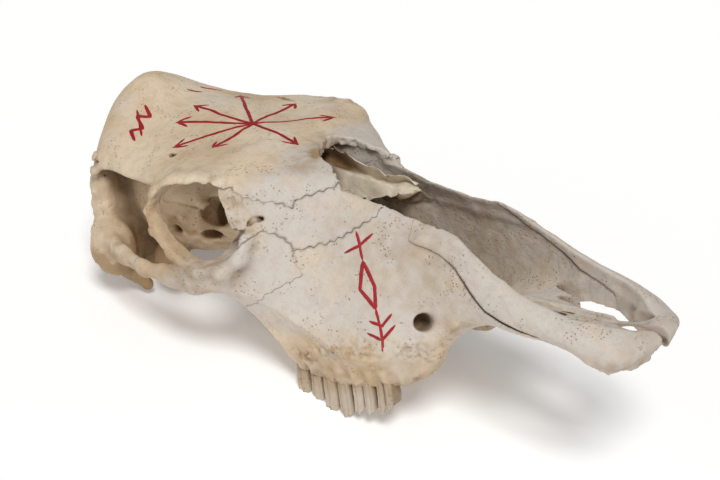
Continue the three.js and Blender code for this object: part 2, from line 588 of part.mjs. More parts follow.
// Section of a crown: three ribs and two folds to the cheek, two round lobes to the tongue, as [along, across]
const CROWN = [
  [-1, 0.72], [-0.9, 1], [-0.62, 0.7], [-0.42, 0.84], [-0.2, 0.7], [0, 1], [0.24, 0.7], [0.44, 0.84], [0.64, 0.7],
  [0.92, 1], [1, 0.7], [0.98, -0.4], [0.5, -1], [0.1, -0.62], [-0.1, -0.62], [-0.5, -1], [-0.98, -0.4],
];
function tooth(side, [back, front, w, width, heightBack, heightFront]) {
  const levels = [[SOCKET_DEPTH, 0.9, 0], [0, 0.95, 0], [-7, 1, 0.6]];
  const middle = (back + front) / 2;
  const reach = (front - back) / 2;
  const ring = (scale, out, height) => CROWN.map(([u, v]) => {
    const x = middle + u * reach * Math.min(scale, 0.985);
    return [x, side * (w + out + (v * width * scale) / 2), height(u, v)];
  });
  return loft([
    ...levels.map(([z, scale, out]) => ring(scale, out, () => z)),
    ring(1.02, 1.5, (u, v) => mix(heightBack, heightFront, (u + 1) / 2) + WORN_SLOPE * (1 - v)),
  ]);
}

// The skull as one solid with room for the thin bones inside it, then parted
const [LOW, HIGH] = [[-244, -124, -28], [252, 124, 228]];
let rest = solidOf(thin(meshOf(skull, LOW, HIGH, CELL), SKULL_TRIANGLES));
const sides = [["right", -1], ["left", 1]];
for (const room of [vomer(SUTURE_GAP), turbinate(-1, SUTURE_GAP), turbinate(1, SUTURE_GAP)])
  rest = rest.subtract(solidOf(room));
const solids = new Map();
function take(name, outline, y0, y1) {
  solids.set(name, rest.intersect(solidOf(slab(outline, y0, y1, SUTURE_GAP))));
  rest = rest.subtract(solidOf(slab(outline, y0, y1, 0)));
}
// Distance from the middle at which a paired bone begins; those that meet there share the gap between them
const MIDDLE = -SUTURE_GAP / 2;
const INNER = { premaxilla: MIDDLE, lacrimal: 27, zygomatic: 62, temporal: 33, frontal: MIDDLE, maxilla: MIDDLE };
const OUTER = 130;
const takePair = (bone) => {
  for (const [name, side] of sides) {
    const [y0, y1] = [side * INNER[bone], side * OUTER].sort((a, b) => a - b);
    take(`${bone}_${name}`, OUTLINES[bone], y0, y1);
  }
};
takePair("premaxilla");
takePair("lacrimal");
takePair("zygomatic");
take("occipital", OUTLINES.occipital, -70, 70);
takePair("temporal");
takePair("frontal");
take("palatine", OUTLINES.palatine, -36, 36);
takePair("maxilla");
solids.set("sphenoid", rest);
solids.set("vomer", solidOf(vomer(0)));
for (const [name, side] of sides) {
  solids.set(`turbinate_${name}`, solidOf(turbinate(side, 0)));
  for (const size of name === "left" ? LEFT_TEETH : TEETH) {
    const bone = `maxilla_${name}`;
    solids.set(bone, solids.get(bone).add(solidOf(tooth(side, size))));
  }
}

// What stands on the floor is worn flat there: the last molars and the joint with the neck
const lowest = (name) => solids.get(name).boundingBox().min[2];
const floor = Math.max(lowest("maxilla_right"), lowest("occipital")) + FLAT_DEPTH;
const WIDE = 400;
const ground = [-WIDE, WIDE].map((x) => [[-1, -WIDE], [1, -WIDE], [1, floor], [-1, floor]].map(([y, z]) => [
  x, y * WIDE, z,
]));

// Named meshes, with the origin under the middle of the whole, at the floor
const skullGroup = new THREE.Group();
skullGroup.name = "cow_skull";
const boxes = [...solids.values()].map((solid) => solid.boundingBox());
const spanOf = (i) => [Math.min(...boxes.map(({ min }) => min[i])), Math.max(...boxes.map(({ max }) => max[i]))];
const middleOf = (i) => (spanOf(i)[0] + spanOf(i)[1]) / 2;
const origin = [middleOf(0), middleOf(1), floor];
for (const [name, solid] of solids) {
  const standing = lowest(name) < floor ? solid.subtract(solidOf(loft(ground), (point) => point)) : solid;
  // Chips that the parting left loose are dropped
  const [body] = standing.decompose().sort((a, b) => b.volume() - a.volume());
  const mesh = body.getMesh();
  const geometry = new THREE.BufferGeometry();
  const positions = mesh.vertProperties.map((v, i) => v - origin[i % 3]);
  geometry.setAttribute("position", new THREE.BufferAttribute(new Float32Array(positions), 3));
  geometry.setIndex([...mesh.triVerts]);
  geometry.computeVertexNormals();
  const color = /turbinate|vomer/.test(name) ? TURBINATE_COLOR : BONE_COLOR;
  const part = new THREE.Mesh(geometry, new THREE.MeshStandardMaterial({ color, roughness: 0.75, metalness: 0 }));
  part.name = name;
  skullGroup.add(part);
}
export default skullGroup;
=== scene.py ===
import math

import bpy
import numpy as np
from mathutils import Matrix, Vector


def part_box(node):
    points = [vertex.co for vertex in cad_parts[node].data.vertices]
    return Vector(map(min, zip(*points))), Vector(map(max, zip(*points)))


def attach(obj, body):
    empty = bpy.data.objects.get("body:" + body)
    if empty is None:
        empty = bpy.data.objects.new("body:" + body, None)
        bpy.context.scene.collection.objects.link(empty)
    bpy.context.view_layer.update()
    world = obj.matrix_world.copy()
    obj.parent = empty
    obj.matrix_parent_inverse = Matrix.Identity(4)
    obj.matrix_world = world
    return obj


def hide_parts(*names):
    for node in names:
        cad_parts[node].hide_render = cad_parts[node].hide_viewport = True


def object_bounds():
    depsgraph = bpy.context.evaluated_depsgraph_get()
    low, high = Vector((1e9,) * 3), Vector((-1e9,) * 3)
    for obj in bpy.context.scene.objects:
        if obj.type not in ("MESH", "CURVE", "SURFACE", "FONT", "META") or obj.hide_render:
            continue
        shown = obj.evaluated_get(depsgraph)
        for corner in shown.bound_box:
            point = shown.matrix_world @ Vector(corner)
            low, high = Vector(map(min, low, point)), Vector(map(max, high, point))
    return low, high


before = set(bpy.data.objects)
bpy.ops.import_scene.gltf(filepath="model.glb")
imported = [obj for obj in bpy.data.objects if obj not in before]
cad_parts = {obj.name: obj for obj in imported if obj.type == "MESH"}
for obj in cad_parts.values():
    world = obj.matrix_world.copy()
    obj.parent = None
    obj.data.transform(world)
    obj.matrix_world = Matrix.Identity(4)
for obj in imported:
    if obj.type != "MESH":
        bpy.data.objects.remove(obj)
cad_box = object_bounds()

# Frame of the head. The skull is shaped in a frame of its own, in millimetres: x to the nose, y to the
# animal's left, z up from the edge of the tooth sockets, and w for the distance from the middle plane.
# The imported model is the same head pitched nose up. Its vomer, [x, low, top] here, gives the shift.
MM = 1000  # in a metre
REST_PITCH = math.radians(20.4)
VOMER = [
    (-62, 66, 78), (-34, 44, 64), (-20, 39, 58), (20, 38, 55), (60, 39, 54), (110, 46, 56), (150, 47, 55),
    (172, 46, 50),
]
PITCHED = np.array([
    [math.cos(REST_PITCH), 0, -math.sin(REST_PITCH)],
    [0, 1, 0],
    [math.sin(REST_PITCH), 0, math.cos(REST_PITCH)],
])
vomer_low, vomer_high = (np.array(corner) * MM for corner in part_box("vomer"))
vomer_bottom = [PITCHED @ (x, 0, low) for x, low, top in VOMER]
vomer_back = [PITCHED @ (x, 0, top) for x, low, top in VOMER]
SHIFT = np.array([
    min(p[0] for p in vomer_back) - vomer_low[0],
    -(vomer_low[1] + vomer_high[1]) / 2,
    min(p[2] for p in vomer_bottom) - vomer_low[2],
])


def to_row(points):
    """Millimetres in the head's frame to metres in the model's."""
    return (np.asarray(points, float) @ PITCHED.T - SHIFT) / MM


# Lines along the head, the same as the solids': stations of x with the half width w and the height z
RIM = [
    (-60, 80, 158), (-30, 64, 150), (8, 31, 139), (20, 30, 135), (50, 28, 124), (83, 29, 115), (100, 31, 112),
    (110, 33, 107), (122, 36, 97), (134, 39, 88), (148, 41, 78), (168, 41, 67), (185, 40, 60), (212, 34, 50),
    (225, 27, 43), (240, 10, 38),
]
CREST = [
    (-60, 100, 84), (-30, 88, 70), (0, 82, 50), (25, 78, 34), (45, 75, 27), (75, 58, 32), (92, 50, 38),
    (120, 44, 54), (148, 44, 48), (168, 43, 44), (190, 43, 38), (211, 41, 27), (228, 33, 29), (240, 14, 34),
]
EDGE = [
    (-60, 60, 26), (-30, 66, 8), (15, 68, 0), (60, 61, 2), (78, 54, 10), (92, 47, 27), (106, 38, 39),
    (122, 35, 43), (140, 33, 38), (165, 32, 34), (188, 32, 33), (198, 33, 26), (208, 33, 17), (222, 26, 18),
    (232, 16, 23), (240, 8, 29),
]
ROOF_PROFILE = [(-215, 188), (-190, 188), (-150, 180.5), (-100, 172), (-60, 165), (-27, 156), (10, 148)]
ROOF_WIDTH = [
    (-213, 30), (-207, 45), (-200, 58), (-192, 69), (-184, 75), (-165, 77), (-140, 81), (-120, 93),
    (-106, 100), (-90, 99), (-75, 96), (-55, 88), (-30, 66), (10, 36),
]
ROOF_DROP = [
    (-213, 16), (-190, 19), (-150, 17), (-120, 17), (-100, 13), (-75, 7), (-48, 6), (-27, 7), (10, 8),
]
CAVITY_WIDTH = [
    (-55, 20), (-20, 26), (8, 30), (50, 33), (85, 34), (148, 36), (188, 34), (222, 20), (250, 8),
]
CAVITY_FLOOR = [
    (-55, 70), (-20, 42), (50, 42), (100, 48), (122, 51), (150, 48), (200, 40), (225, 39), (250, 40),
]
PALATE = [
    (-60, 30), (-30, 16), (60, 15), (100, 38), (122, 42), (140, 41), (185, 34), (215, 29), (240, 32),
]
ORBIT_RIM = [
    (-53, 82, 154, 2.2), (-70, 90, 159, 2.0), (-88, 95, 158, 2.0), (-101, 99, 152, 3.0),
    (-105, 102, 141, 3.8), (-101, 104, 126, 4.2), (-88, 105, 112, 4.8), (-69, 106, 102, 5.4),
    (-52, 103, 101, 5.6), (-41, 96, 107, 5), (-36, 89, 117, 3.5), (-44, 85, 126, 2.6), (-53, 83, 139, 2.6),
]
EYE = (-73, 130)
# Opening of the orbit in the side view [x, z], with the ragged edge of the lacrimal bone in front
ORBIT_OPENING = [
    (-105, 145), (-101, 151), (-95, 156), (-88, 157.5), (-78, 158), (-70, 157), (-66, 158), (-61, 156),
    (-57, 156.5), (-51, 153), (-53, 148), (-55, 143), (-52, 138), (-54, 133), (-51, 128), (-52, 125),
    (-45, 123), (-38, 122.5), (-34, 123), (-35, 120), (-38, 118), (-40, 114), (-43, 109), (-47, 104),
    (-55, 101), (-63, 100), (-71, 102), (-79, 105), (-87, 111), (-94, 117), (-99, 126), (-103, 135),
]


def line(stations, column=1):
    """The line's value as a function of x: smooth, without overshoot, read from a fine table."""
    xs = np.array([s[0] for s in stations], float)
    ys = np.array([s[column] for s in stations], float)
    chords = np.diff(ys) / np.diff(xs)
    slopes = np.zeros(len(xs))
    slopes[0], slopes[-1] = chords[0], chords[-1]
    before, after = chords[:-1], chords[1:]
    same = before * after > 0
    slopes[1:-1][same] = 2 * before[same] * after[same] / (before + after)[same]
    fine = np.linspace(xs[0], xs[-1], 2000)
    i = np.clip(np.searchsorted(xs, fine, side="right") - 1, 0, len(xs) - 2)
    step = xs[i + 1] - xs[i]
    t = (fine - xs[i]) / step
    table = (
        ys[i] * (1 + 2 * t) * (1 - t) ** 2 + slopes[i] * step * t * (1 - t) ** 2
        + ys[i + 1] * t * t * (3 - 2 * t) + slopes[i + 1] * step * t * t * (t - 1)
    )
    return lambda x: np.interp(x, fine, table)


def polyline(stations, x, column=1):
    """The same with straight pieces between the stations."""
    return np.interp(x, [s[0] for s in stations], [s[column] for s in stations])


rim_w, rim_z = line(RIM, 1), line(RIM, 2)
crest_w, crest_z = line(CREST, 1), line(CREST, 2)
edge_w, edge_z = line(EDGE, 1), line(EDGE, 2)
roof_profile, roof_width, roof_drop = line(ROOF_PROFILE), line(ROOF_WIDTH), line(ROOF_DROP)
cavity_width, cavity_floor, palate = line(CAVITY_WIDTH), line(CAVITY_FLOOR), line(PALATE)


# Building blocks of the head's field, which is below zero inside the bone, in millimetres
def smooth_min(a, b, k):
    h = np.maximum(k - np.abs(a - b), 0) / k
    return np.minimum(a, b) - h * h * k * 0.25


def smooth_max(a, b, k):
    return -smooth_min(-a, -b, k)


def cut(d, hollow, k):
    return smooth_max(d, -hollow, k)


def mix(a, b, t):
    return a + (b - a) * t


def bell(value, middle, width):
    """1 at the middle, falling to 0 on either side."""
    return np.exp(-((value - middle) / width) ** 2)


def rise(value, low, high):
    """0 at low and before it, 1 at high and past it, straight between; low may be the larger."""
    return np.clip((value - low) / (high - low), 0, 1)


def ellipsoid(x, w, z, centre, radii):
    dx, dw, dz = x - centre[0], w - centre[1], z - centre[2]
    k0 = np.sqrt((dx / radii[0]) ** 2 + (dw / radii[1]) ** 2 + (dz / radii[2]) ** 2)
    k1 = np.sqrt((dx / radii[0] ** 2) ** 2 + (dw / radii[1] ** 2) ** 2 + (dz / radii[2] ** 2) ** 2)
    return k0 * (k0 - 1) / np.maximum(k1, 1e-9)


def bar(x, w, z, a, b, flat=1.0):
    """Rod from a to b, (x, w, z, radius) each, flattened to `flat` of its height across w."""
    bx, bw, bz = b[0] - a[0], b[1] - a[1], b[2] - a[2]
    px, pw, pz = x - a[0], w - a[1], z - a[2]
    t = np.clip((px * bx + pw * bw + pz * bz) / (bx * bx + bw * bw + bz * bz), 0, 1)
    dx, dw, dz = px - bx * t, (pw - bw * t) / flat, pz - bz * t
    scale = (1 + flat) / 2 if flat < 1 else 1
    return (np.sqrt(dx * dx + dw * dw + dz * dz) - mix(a[3], b[3], t)) * scale


def chain(x, w, z, points, flat=1.0, k=6.0):
    d = bar(x, w, z, points[0], points[1], flat)
    for a, b in zip(points[1:], points[2:]):
        d = smooth_min(d, bar(x, w, z, a, b, flat), k)
    return d


NODES = 64
LATTICE = np.random.RandomState(7).uniform(-1, 1, (NODES, NODES, NODES)).astype(np.float32)


def noise(x, y, z, size):
    """Smooth random value in -1..1 that changes over `size` millimetres."""
    cells, parts = [], []
    for v in (x, y, z):
        scaled = np.asarray(v, np.float32) / size + NODES
        cell = np.floor(scaled).astype(np.int32)
        part = scaled - cell
        cells.append(cell)
        parts.append(part * part * (3 - 2 * part))
    total = 0
    for i in (0, 1):
        for j in (0, 1):
            for k in (0, 1):
                corner = LATTICE[tuple((cell + n) & (NODES - 1) for cell, n in zip(cells, (i, j, k)))]
                weight = (parts[0] if i else 1 - parts[0]) * (parts[1] if j else 1 - parts[1])
                total = total + corner * weight * (parts[2] if k else 1 - parts[2])
    return total


# Main masses of the head
def face(x, w, z):
    rw, rz, cw, cz, ew, ez = rim_w(x), rim_z(x), crest_w(x), crest_z(x), edge_w(x), edge_z(x)
    up = np.clip((z - cz) / (rz - cz), 0, 1.3)
    down = np.clip((cz - z) / (cz - ez), 0, 1.3)
    upper = mix(cw, rw, up) + 20 * up * np.maximum(1 - up, -0.2)
    lower = mix(cw, ew, down) - 8 * down * np.maximum(1 - down, -0.2)
    flank = (w - np.where(z > cz, upper, lower)) * 0.9
    top = z - (rz + 0.6 * np.clip(rw - w, 0, 30) * np.where(x < 8, 0.3, 0.1))
    back = -34 - 0.36 * np.clip(z, -10, 90) - x
    outer = smooth_max(smooth_max(flank, top, 7), ez - z, 9)
    return smooth_max(outer, smooth_max(back, x - 240, 1), 10)


# Along the roof w is counted in shares of its width: 0 in the middle, 1 at its edge
def roof(x, w, z):
    middle, width = roof_profile(x), roof_width(x)
    out = np.minimum(w / width, 1.2)
    sink = roof_drop(x) * out ** 3
    poll = 23 * np.exp(-(((x + 190) / 27) ** 2) - (w / 40) ** 2)
    over = (z - (middle - sink + poll)) * 0.97
    under = middle - sink - mix(34, 9, rise(out, 0, 1)) - z
    sheet = smooth_max(over, (w - width) * 0.85, 9)
    return smooth_max(sheet, smooth_max(under, np.maximum(-212 - x, x - 12), 10), 7)


def braincase(x, w, z):
    d = ellipsoid(x, w, z, (-148, 0, 128), (70, 58, 56))
    d = smooth_min(d, ellipsoid(x, w, z, (-85, 0, 122), (56, 36, 44)), 20)
    half = mix(86, 70, rise(z, 100, 165)) - 0.4 * np.clip(92 - z, 0, 40)
    lean = -198 - 0.05 * (z - 120) + 0.0012 * w * w
    crown = 178 - 0.004 * w * w
    sides = smooth_max((w - half) * 0.9, np.abs(x - lean) - 9, 8)
    shield = smooth_max(sides, np.maximum(z - crown, 72 - z), 12)
    d = smooth_min(d, shield, 14)
    return smooth_min(d, bar(x, w, z, (-208, 0, 82, 20), (-95, 0, 95, 13)), 14)


def ring_point(x, w, z, radius):
    """Centre of the rounded rim outside a point of the orbit's edge."""
    out = radius / math.hypot(x - EYE[0], z - EYE[1])
    return x + (x - EYE[0]) * out, w - radius / 2, z + (z - EYE[1]) * out, radius


ORBIT_RING = [ring_point(*point) for point in [*ORBIT_RIM, ORBIT_RIM[0]]]


ARCH = [(-92, 106, 91, 7), (-125, 104, 94, 5.5), (-152, 97, 100, 6.5), (-178, 84, 101, 11)]
CHEEKBONE = [(-58, 98, 90, 11), (-78, 103, 90, 11), (-98, 105, 92, 8)]


def arch(x, w, z):
    d = smooth_min(chain(x, w, z, ARCH, 0.6), chain(x, w, z, CHEEKBONE, 0.6), 6)
    d = smooth_min(d, ellipsoid(x, w, z, (-186, 76, 96), (17, 17, 22)), 10)
    return smooth_min(d, chain(x, w + 2, z, ORBIT_RING, 1.6, 4), 5)


def underparts(x, w, z):
    d = smooth_min(
        ellipsoid(x, w, z, (-214, 30, 82), (14, 15, 21)),
        ellipsoid(x, w, z, (-204, 20, 70), (15, 14, 11)), 8,
    )
    jugular = chain(x, w, z, [(-198, 64, 92, 14), (-189, 60, 72, 9), (-181, 56, 58, 5.5)], 0.8)
    d = smooth_min(d, jugular, 8)
    d = smooth_min(d, ellipsoid(x, w, z, (-160, 44, 74), (17, 12, 17)), 6)
    inside = ellipsoid(x, 0, z, (-66, 0, 62), (48, 99, 42))
    plate = smooth_max(np.abs(w - 23 - 0.03 * (x + 60)) - 3.2, inside, 4)
    return smooth_min(d, plate, 5)


# Hollows of the head
def outline_distance(x, z, points):
    """Signed distance to a closed outline [x, z], below zero inside."""
    best = np.full(np.broadcast(x, z).shape, 1e9)
    inside = np.zeros(best.shape, bool)
    for (ax, az), (bx, bz) in zip(points, [*points[1:], points[0]]):
        ex, ez = bx - ax, bz - az
        t = np.clip(((x - ax) * ex + (z - az) * ez) / (ex * ex + ez * ez), 0, 1)
        best = np.minimum(best, (x - ax - ex * t) ** 2 + (z - az - ez * t) ** 2)
        if az != bz:
            inside ^= ((az > z) != (bz > z)) & (x < ax + (z - az) * ex / ez)
    return np.where(inside, -1, 1) * np.sqrt(best)


def orbit(x, w, z):
    opening = outline_distance(x, z, ORBIT_OPENING)
    socket = smooth_max(opening + 0.35 * np.maximum(86 - w, 0), 56 - w, 10)
    return smooth_min(socket, bar(x, w, z, (-74, 84, 128, 25), (-100, 46, 116, 14)), 8)


def temporal_fossa(x, w, z):
    trough = smooth_min(
        bar(x, w, z, (-176, 96, 136, 24), (-122, 100, 138, 23)),
        bar(x, w, z, (-165, 98, 118, 22), (-118, 94, 112, 22)), 12,
    )
    return smooth_min(trough, bar(x, w, z, (-104, 76, 96, 22), (-62, 56, 62, 20)), 14)


def nasal_cavity(x, w, z):
    mouth = rim_w(x) - 3.5 + 0.5 * np.maximum(rim_z(x) - z, 0)
    side = (w - smooth_min(cavity_width(x), mouth, 6)) * 0.9
    under_roof = z - (150.5 - 0.2 * (x + 27))
    return smooth_max(smooth_max(side, cavity_floor(x) - z, 22), smooth_max(-58 - x, under_roof, 4), 4)


def choana(x, w, z):
    return smooth_max(smooth_max(w - 19, np.maximum(-108 - x, x + 34), 8), z - 68, 10)


def palate_vault(x, w, z):
    inside = edge_w(x) - np.where(x < 75, 24, mix(24, 9, rise(x, 75, 95)))
    return smooth_max(smooth_max(w - inside, z - palate(x), 8), -60 - x, 6)


def palatine_fissure(x, w, z):
    t = rise(x, 148, 224)
    side = np.abs(w - mix(17, 12, t)) - 6.0 * np.sin(np.pi * np.clip(t, 0.02, 0.98)) ** 0.6
    return np.maximum(np.maximum(side, z - 62), np.abs(x - 186) - 38)


def foramen_magnum(x, w, z):
    return bar(x, w, z, (-240, 0, 91, 18), (-186, 0, 96, 15))


# Camera: the photograph's, fitted to the skull, in the head's frame, with a focal length in its pixels
SENSOR_WIDTH = 36
PHOTO_WIDTH = 720
FOCAL_LENGTH = 1665.3
DISTANCE = 1213.3


def add_object(name, data):
    added = bpy.data.objects.new(name, data)
    bpy.context.scene.collection.objects.link(added)
    return added


AZIMUTH, ELEVATION, ROLL = math.radians(41.51), math.radians(18.38), math.radians(-10.70)
BACK = np.array((
    math.sin(AZIMUTH) * math.cos(ELEVATION), -math.cos(AZIMUTH) * math.cos(ELEVATION), math.sin(ELEVATION),
))
level = np.array((math.cos(AZIMUTH), math.sin(AZIMUTH), 0))
RIGHT = math.cos(ROLL) * level + math.sin(ROLL) * np.cross(BACK, level)
UP = np.cross(BACK, RIGHT)
VIEWPOINT = np.array((-5.75, 0, 84.95)) + BACK * DISTANCE
camera = add_object("camera", bpy.data.cameras.new("camera"))
bpy.context.scene.camera = camera
camera.data.sensor_width = SENSOR_WIDTH
camera.data.lens = FOCAL_LENGTH * SENSOR_WIDTH / PHOTO_WIDTH
camera.data.clip_end = 20
turned = Matrix((PITCHED @ RIGHT, PITCHED @ UP, PITCHED @ BACK)).transposed().to_4x4()
camera.matrix_world = Matrix.Translation(to_row(VIEWPOINT)) @ turned

# Floor and light: a wide pale floor under an even white sky, a soft key light from high before the animal's
# right side and a weak, wider one from low behind it, as in a studio
def add_material(name):
    """New material, and the shader in it."""
    material = bpy.data.materials.new(name)
    material.use_nodes = True
    return material, material.node_tree.nodes["Principled BSDF"]


floor_mesh = bpy.data.meshes.new("floor")
floor_mesh.from_pydata([(-6, -6, 0), (6, -6, 0), (6, 6, 0), (-6, 6, 0)], [], [(0, 1, 2, 3)])
floor = add_object("floor", floor_mesh)
floor_paper, paper = add_material("floor_paper")
paper.inputs["Base Color"].default_value = (0.95, 0.95, 0.95, 1)
paper.inputs["Emission Color"].default_value = (1, 1, 1, 1)
paper.inputs["Emission Strength"].default_value = 0.18
paper.inputs["Roughness"].default_value = 0.9
floor_mesh.materials.append(floor_paper)

world = bpy.data.worlds.new("studio")
world.use_nodes = True
world.node_tree.nodes["Background"].inputs["Color"].default_value = (1, 0.99, 0.97, 1)
world.node_tree.nodes["Background"].inputs["Strength"].default_value = 0.26
bpy.context.scene.world = world
for lamp_name, source, strength, softness in (
    ("key", (0.32, -0.42, 0.86), 2.15, 20), ("fill", (-0.3, -0.8, 0.4), 0.25, 60),
):
    lamp = add_object(lamp_name, bpy.data.lights.new(lamp_name, "SUN"))
    lamp.data.energy = strength
    lamp.data.angle = math.radians(softness)
    lamp.rotation_euler = Vector(source).to_track_quat("Z", "Y").to_euler()
bpy.context.scene.view_settings.view_transform = "Standard"


def head_field(x, w, z):
    """The head without its fine relief, the same on both sides."""
    d = smooth_min(roof(x, w, z), braincase(x, w, z), 14)
    d = smooth_min(d, face(x, w, z), 10)
    d = smooth_min(d, underparts(x, w, z), 8)
    d = cut(d, temporal_fossa(x, w, z), 8)
    d = smooth_min(d, arch(x, w, z), 7)
    d = cut(d, orbit(x, w, z), 1.5)
    d = cut(d, nasal_cavity(x, w, z), 3)
    d = cut(d, palate_vault(x, w, z), 6)
    d = cut(d, choana(x, w, z), 5)
    d = cut(d, palatine_fissure(x, w, z), 1.5)
    return cut(d, foramen_magnum(x, w, z), 4)


# The field on a grid of cubes: worked out everywhere on every fourth node, and on the nodes near the surface
CELL = 1.1
COARSE = 4
NEAR = 1.45  # blocks of four cells
HALF_WIDTH = 114.4
HALF_NODES = round(HALF_WIDTH / CELL)
AXES = [
    np.arange(-233.2, 245.0 + 4 * CELL, CELL, dtype=np.float32),
    np.arange(-HALF_NODES, HALF_NODES + 1, dtype=np.float32) * np.float32(CELL),
    np.arange(-28.0, 216.0 + 4 * CELL, CELL, dtype=np.float32),
]
AXES = [a[: (len(a) - 1) // COARSE * COARSE + 1] for a in AXES]
LOW = np.array([a[0] for a in AXES])


def in_chunks(field, *columns, size=60000):
    """The field's values, worked out for a part of the places at a time."""
    starts = range(0, len(columns[0]), size)
    return np.concatenate([field(*(column[i:i + size] for column in columns)) for i in starts])


def upsampled(values):
    """Every fourth node's values spread linearly over all nodes."""
    for axis in range(3):
        values = np.moveaxis(values, axis, 0)
        between = [values[:-1] + (values[1:] - values[:-1]) * (i / COARSE) for i in range(COARSE)]
        spread = np.empty(((len(values) - 1) * COARSE + 1, *values.shape[1:]), np.float32)
        for i in range(COARSE):
            spread[i:-1:COARSE] = between[i]
        spread[-1] = values[-1]
        values = np.moveaxis(spread, 0, axis)
    return np.ascontiguousarray(values)


def grid_of(field):
    """The field on all nodes, worked out on the left half and mirrored."""
    middle = len(AXES[1]) // 2
    axes = [AXES[0], AXES[1][middle:], AXES[2]]
    coarse_axes = [a[::COARSE] for a in axes]
    nodes = np.stack(np.meshgrid(*coarse_axes, indexing="ij"), -1).reshape(-1, 3)
    coarse = in_chunks(field, *nodes.T).astype(np.float32).reshape([len(a) for a in coarse_axes])
    corners = np.stack([
        coarse[i:coarse.shape[0] - 1 + i, j:coarse.shape[1] - 1 + j, k:coarse.shape[2] - 1 + k]
        for i in (0, 1) for j in (0, 1) for k in (0, 1)
    ])
    near = np.abs(corners).min(0) < NEAR * COARSE * CELL
    near |= (corners.min(0) < 0) & (corners.max(0) >= 0)
    values = upsampled(coarse)
    band = np.zeros(values.shape, bool)
    band[:-1, :-1, :-1] = near.repeat(COARSE, 0).repeat(COARSE, 1).repeat(COARSE, 2)
    i, j, k = np.nonzero(band)
    values[i, j, k] = in_chunks(field, axes[0][i], axes[1][j], axes[2][k])
    return np.concatenate([values[:, :0:-1], values], 1)


skull_field = grid_of(head_field)

# The real head is a little askew: behind the orbits its roof lies lower on the right and higher on the left
SKEW = 0.055
askew = SKEW * rise(AXES[0], -88, -114)[:, None] * np.clip(AXES[1], -92, 92)[None, :] / CELL
askew[:, AXES[1] > 0] *= rise(AXES[0], -186, -152)[:, None]
for i in np.flatnonzero(askew.any(1)):
    lift = rise(AXES[2], 112, 146) * askew[i][:, None]
    at = np.clip(np.arange(len(AXES[2])) - lift, 0, len(AXES[2]) - 1.001)
    cell = at.astype(int)
    low_value = np.take_along_axis(skull_field[i], cell, 1)
    skull_field[i] = mix(low_value, np.take_along_axis(skull_field[i], cell + 1, 1), at - cell)


# Sutures. The skull is parted by side views [x, z] of its bones, extruded across the head, as in the solids;
# where one bone is let into the other, the line between them is drawn jagged
def jagged(points, amplitude, step, seed):
    """The same line with teeth of about `step`, that stand out by up to `amplitude` on either side."""
    random = np.random.RandomState(seed)
    drawn = [points[0]]
    side = 1
    for a, b in zip(points, points[1:]):
        length = math.hypot(b[0] - a[0], b[1] - a[1])
        across = np.array((a[1] - b[1], b[0] - a[0])) / length
        count = max(1, round(length / step))
        for n in range(1, count + 1):
            share = (n - 0.5 + 0.25 * random.uniform(-1, 1)) / count
            spot = mix(np.array(a, float), np.array(b, float), share)
            drawn.append(tuple(spot + across * side * amplitude * random.uniform(0.35, 1)))
            side = -side
        drawn.append(b)
    return drawn


FRONTO_LACRIMAL = jagged([
    (-52, 152), (-45, 152), (-40, 144), (-28, 138), (-18, 135), (-13, 129), (-10, 135), (0, 137), (11, 139),
    (14, 150),
], 1.2, 3, 1)
LACRIMO_ZYGOMATIC = jagged([
    (-9, 102), (-12, 108), (-19, 115), (-28, 119), (-36, 112), (-47, 108), (-66, 106),
], 0.9, 3.5, 2)
LACRIMO_MAXILLARY = jagged([(48, 126), (41, 118), (22, 108), (11, 104), (-9, 102)], 1.5, 3.2, 3)
ZYGOMATIC_TIP = jagged([
    (-60, 60), (-36, 68), (-24, 76), (-11, 82), (-2, 86), (-6, 91), (-9, 102),
], 1.0, 3.5, 4)
OUTLINES = {
    "premaxilla_right": [
        (70, 140), (71, 104), (80, 101), (96, 96), (109, 88), (121, 74), (132, 61), (143, 55), (157, 49),
        (177, 44), (188, 34), (188, -10), (260, -10), (260, 140),
    ],
    "premaxilla_left": [
        (80, 140), (81, 118), (90, 112), (102, 107), (114, 96), (131, 83), (145, 71), (156, 61), (173, 54),
        (184, 48), (188, 34), (188, -10), (260, -10), (260, 140),
    ],
    "lacrimal": [(-64, 146), *FRONTO_LACRIMAL, (60, 150), *LACRIMO_MAXILLARY, *LACRIMO_ZYGOMATIC[1:]],
    "zygomatic": [
        *LACRIMO_ZYGOMATIC, (-88, 112), (-92, 128), (-118, 128), (-118, 102), (-100, 84), (-112, 60),
        *ZYGOMATIC_TIP[:-1],
    ],
    "occipital": [(-260, 168), (-197, 168), (-192, 128), (-192, 100), (-172, 100), (-172, 40), (-260, 40)],
    "temporal": [
        (-225, 134), (-186, 132), (-150, 124), (-118, 116), (-112, 102), (-98, 84), (-104, 50), (-225, 50),
    ],
    "frontal": [
        (-260, 240), (-260, 140), (-196, 140), (-190, 134), (-120, 130), (-88, 126), (-84, 134), (-64, 138),
        *FRONTO_LACRIMAL, (14, 240),
    ],
    "palatine": [(-122, 76), (-64, 76), (-56, 60), (-34, 46), (6, 46), (6, 5), (-66, 5), (-122, 10)],
    "maxilla": [(-70, 50), (-57, 95), (-50, 160), (120, 160), (200, 60), (200, -30), (-70, -30)],
}
SUTURE_GAP = 0.3
CLOSED = 0.05  # share of the gap that is left behind the orbits
INNER = {
    "premaxilla": -SUTURE_GAP / 2, "lacrimal": 27, "zygomatic": 64, "temporal": 33,
    "frontal": -SUTURE_GAP / 2, "maxilla": -SUTURE_GAP / 2,
}
OUTER = 130
HALF_WIDTHS = {"occipital": 70, "palatine": 36}

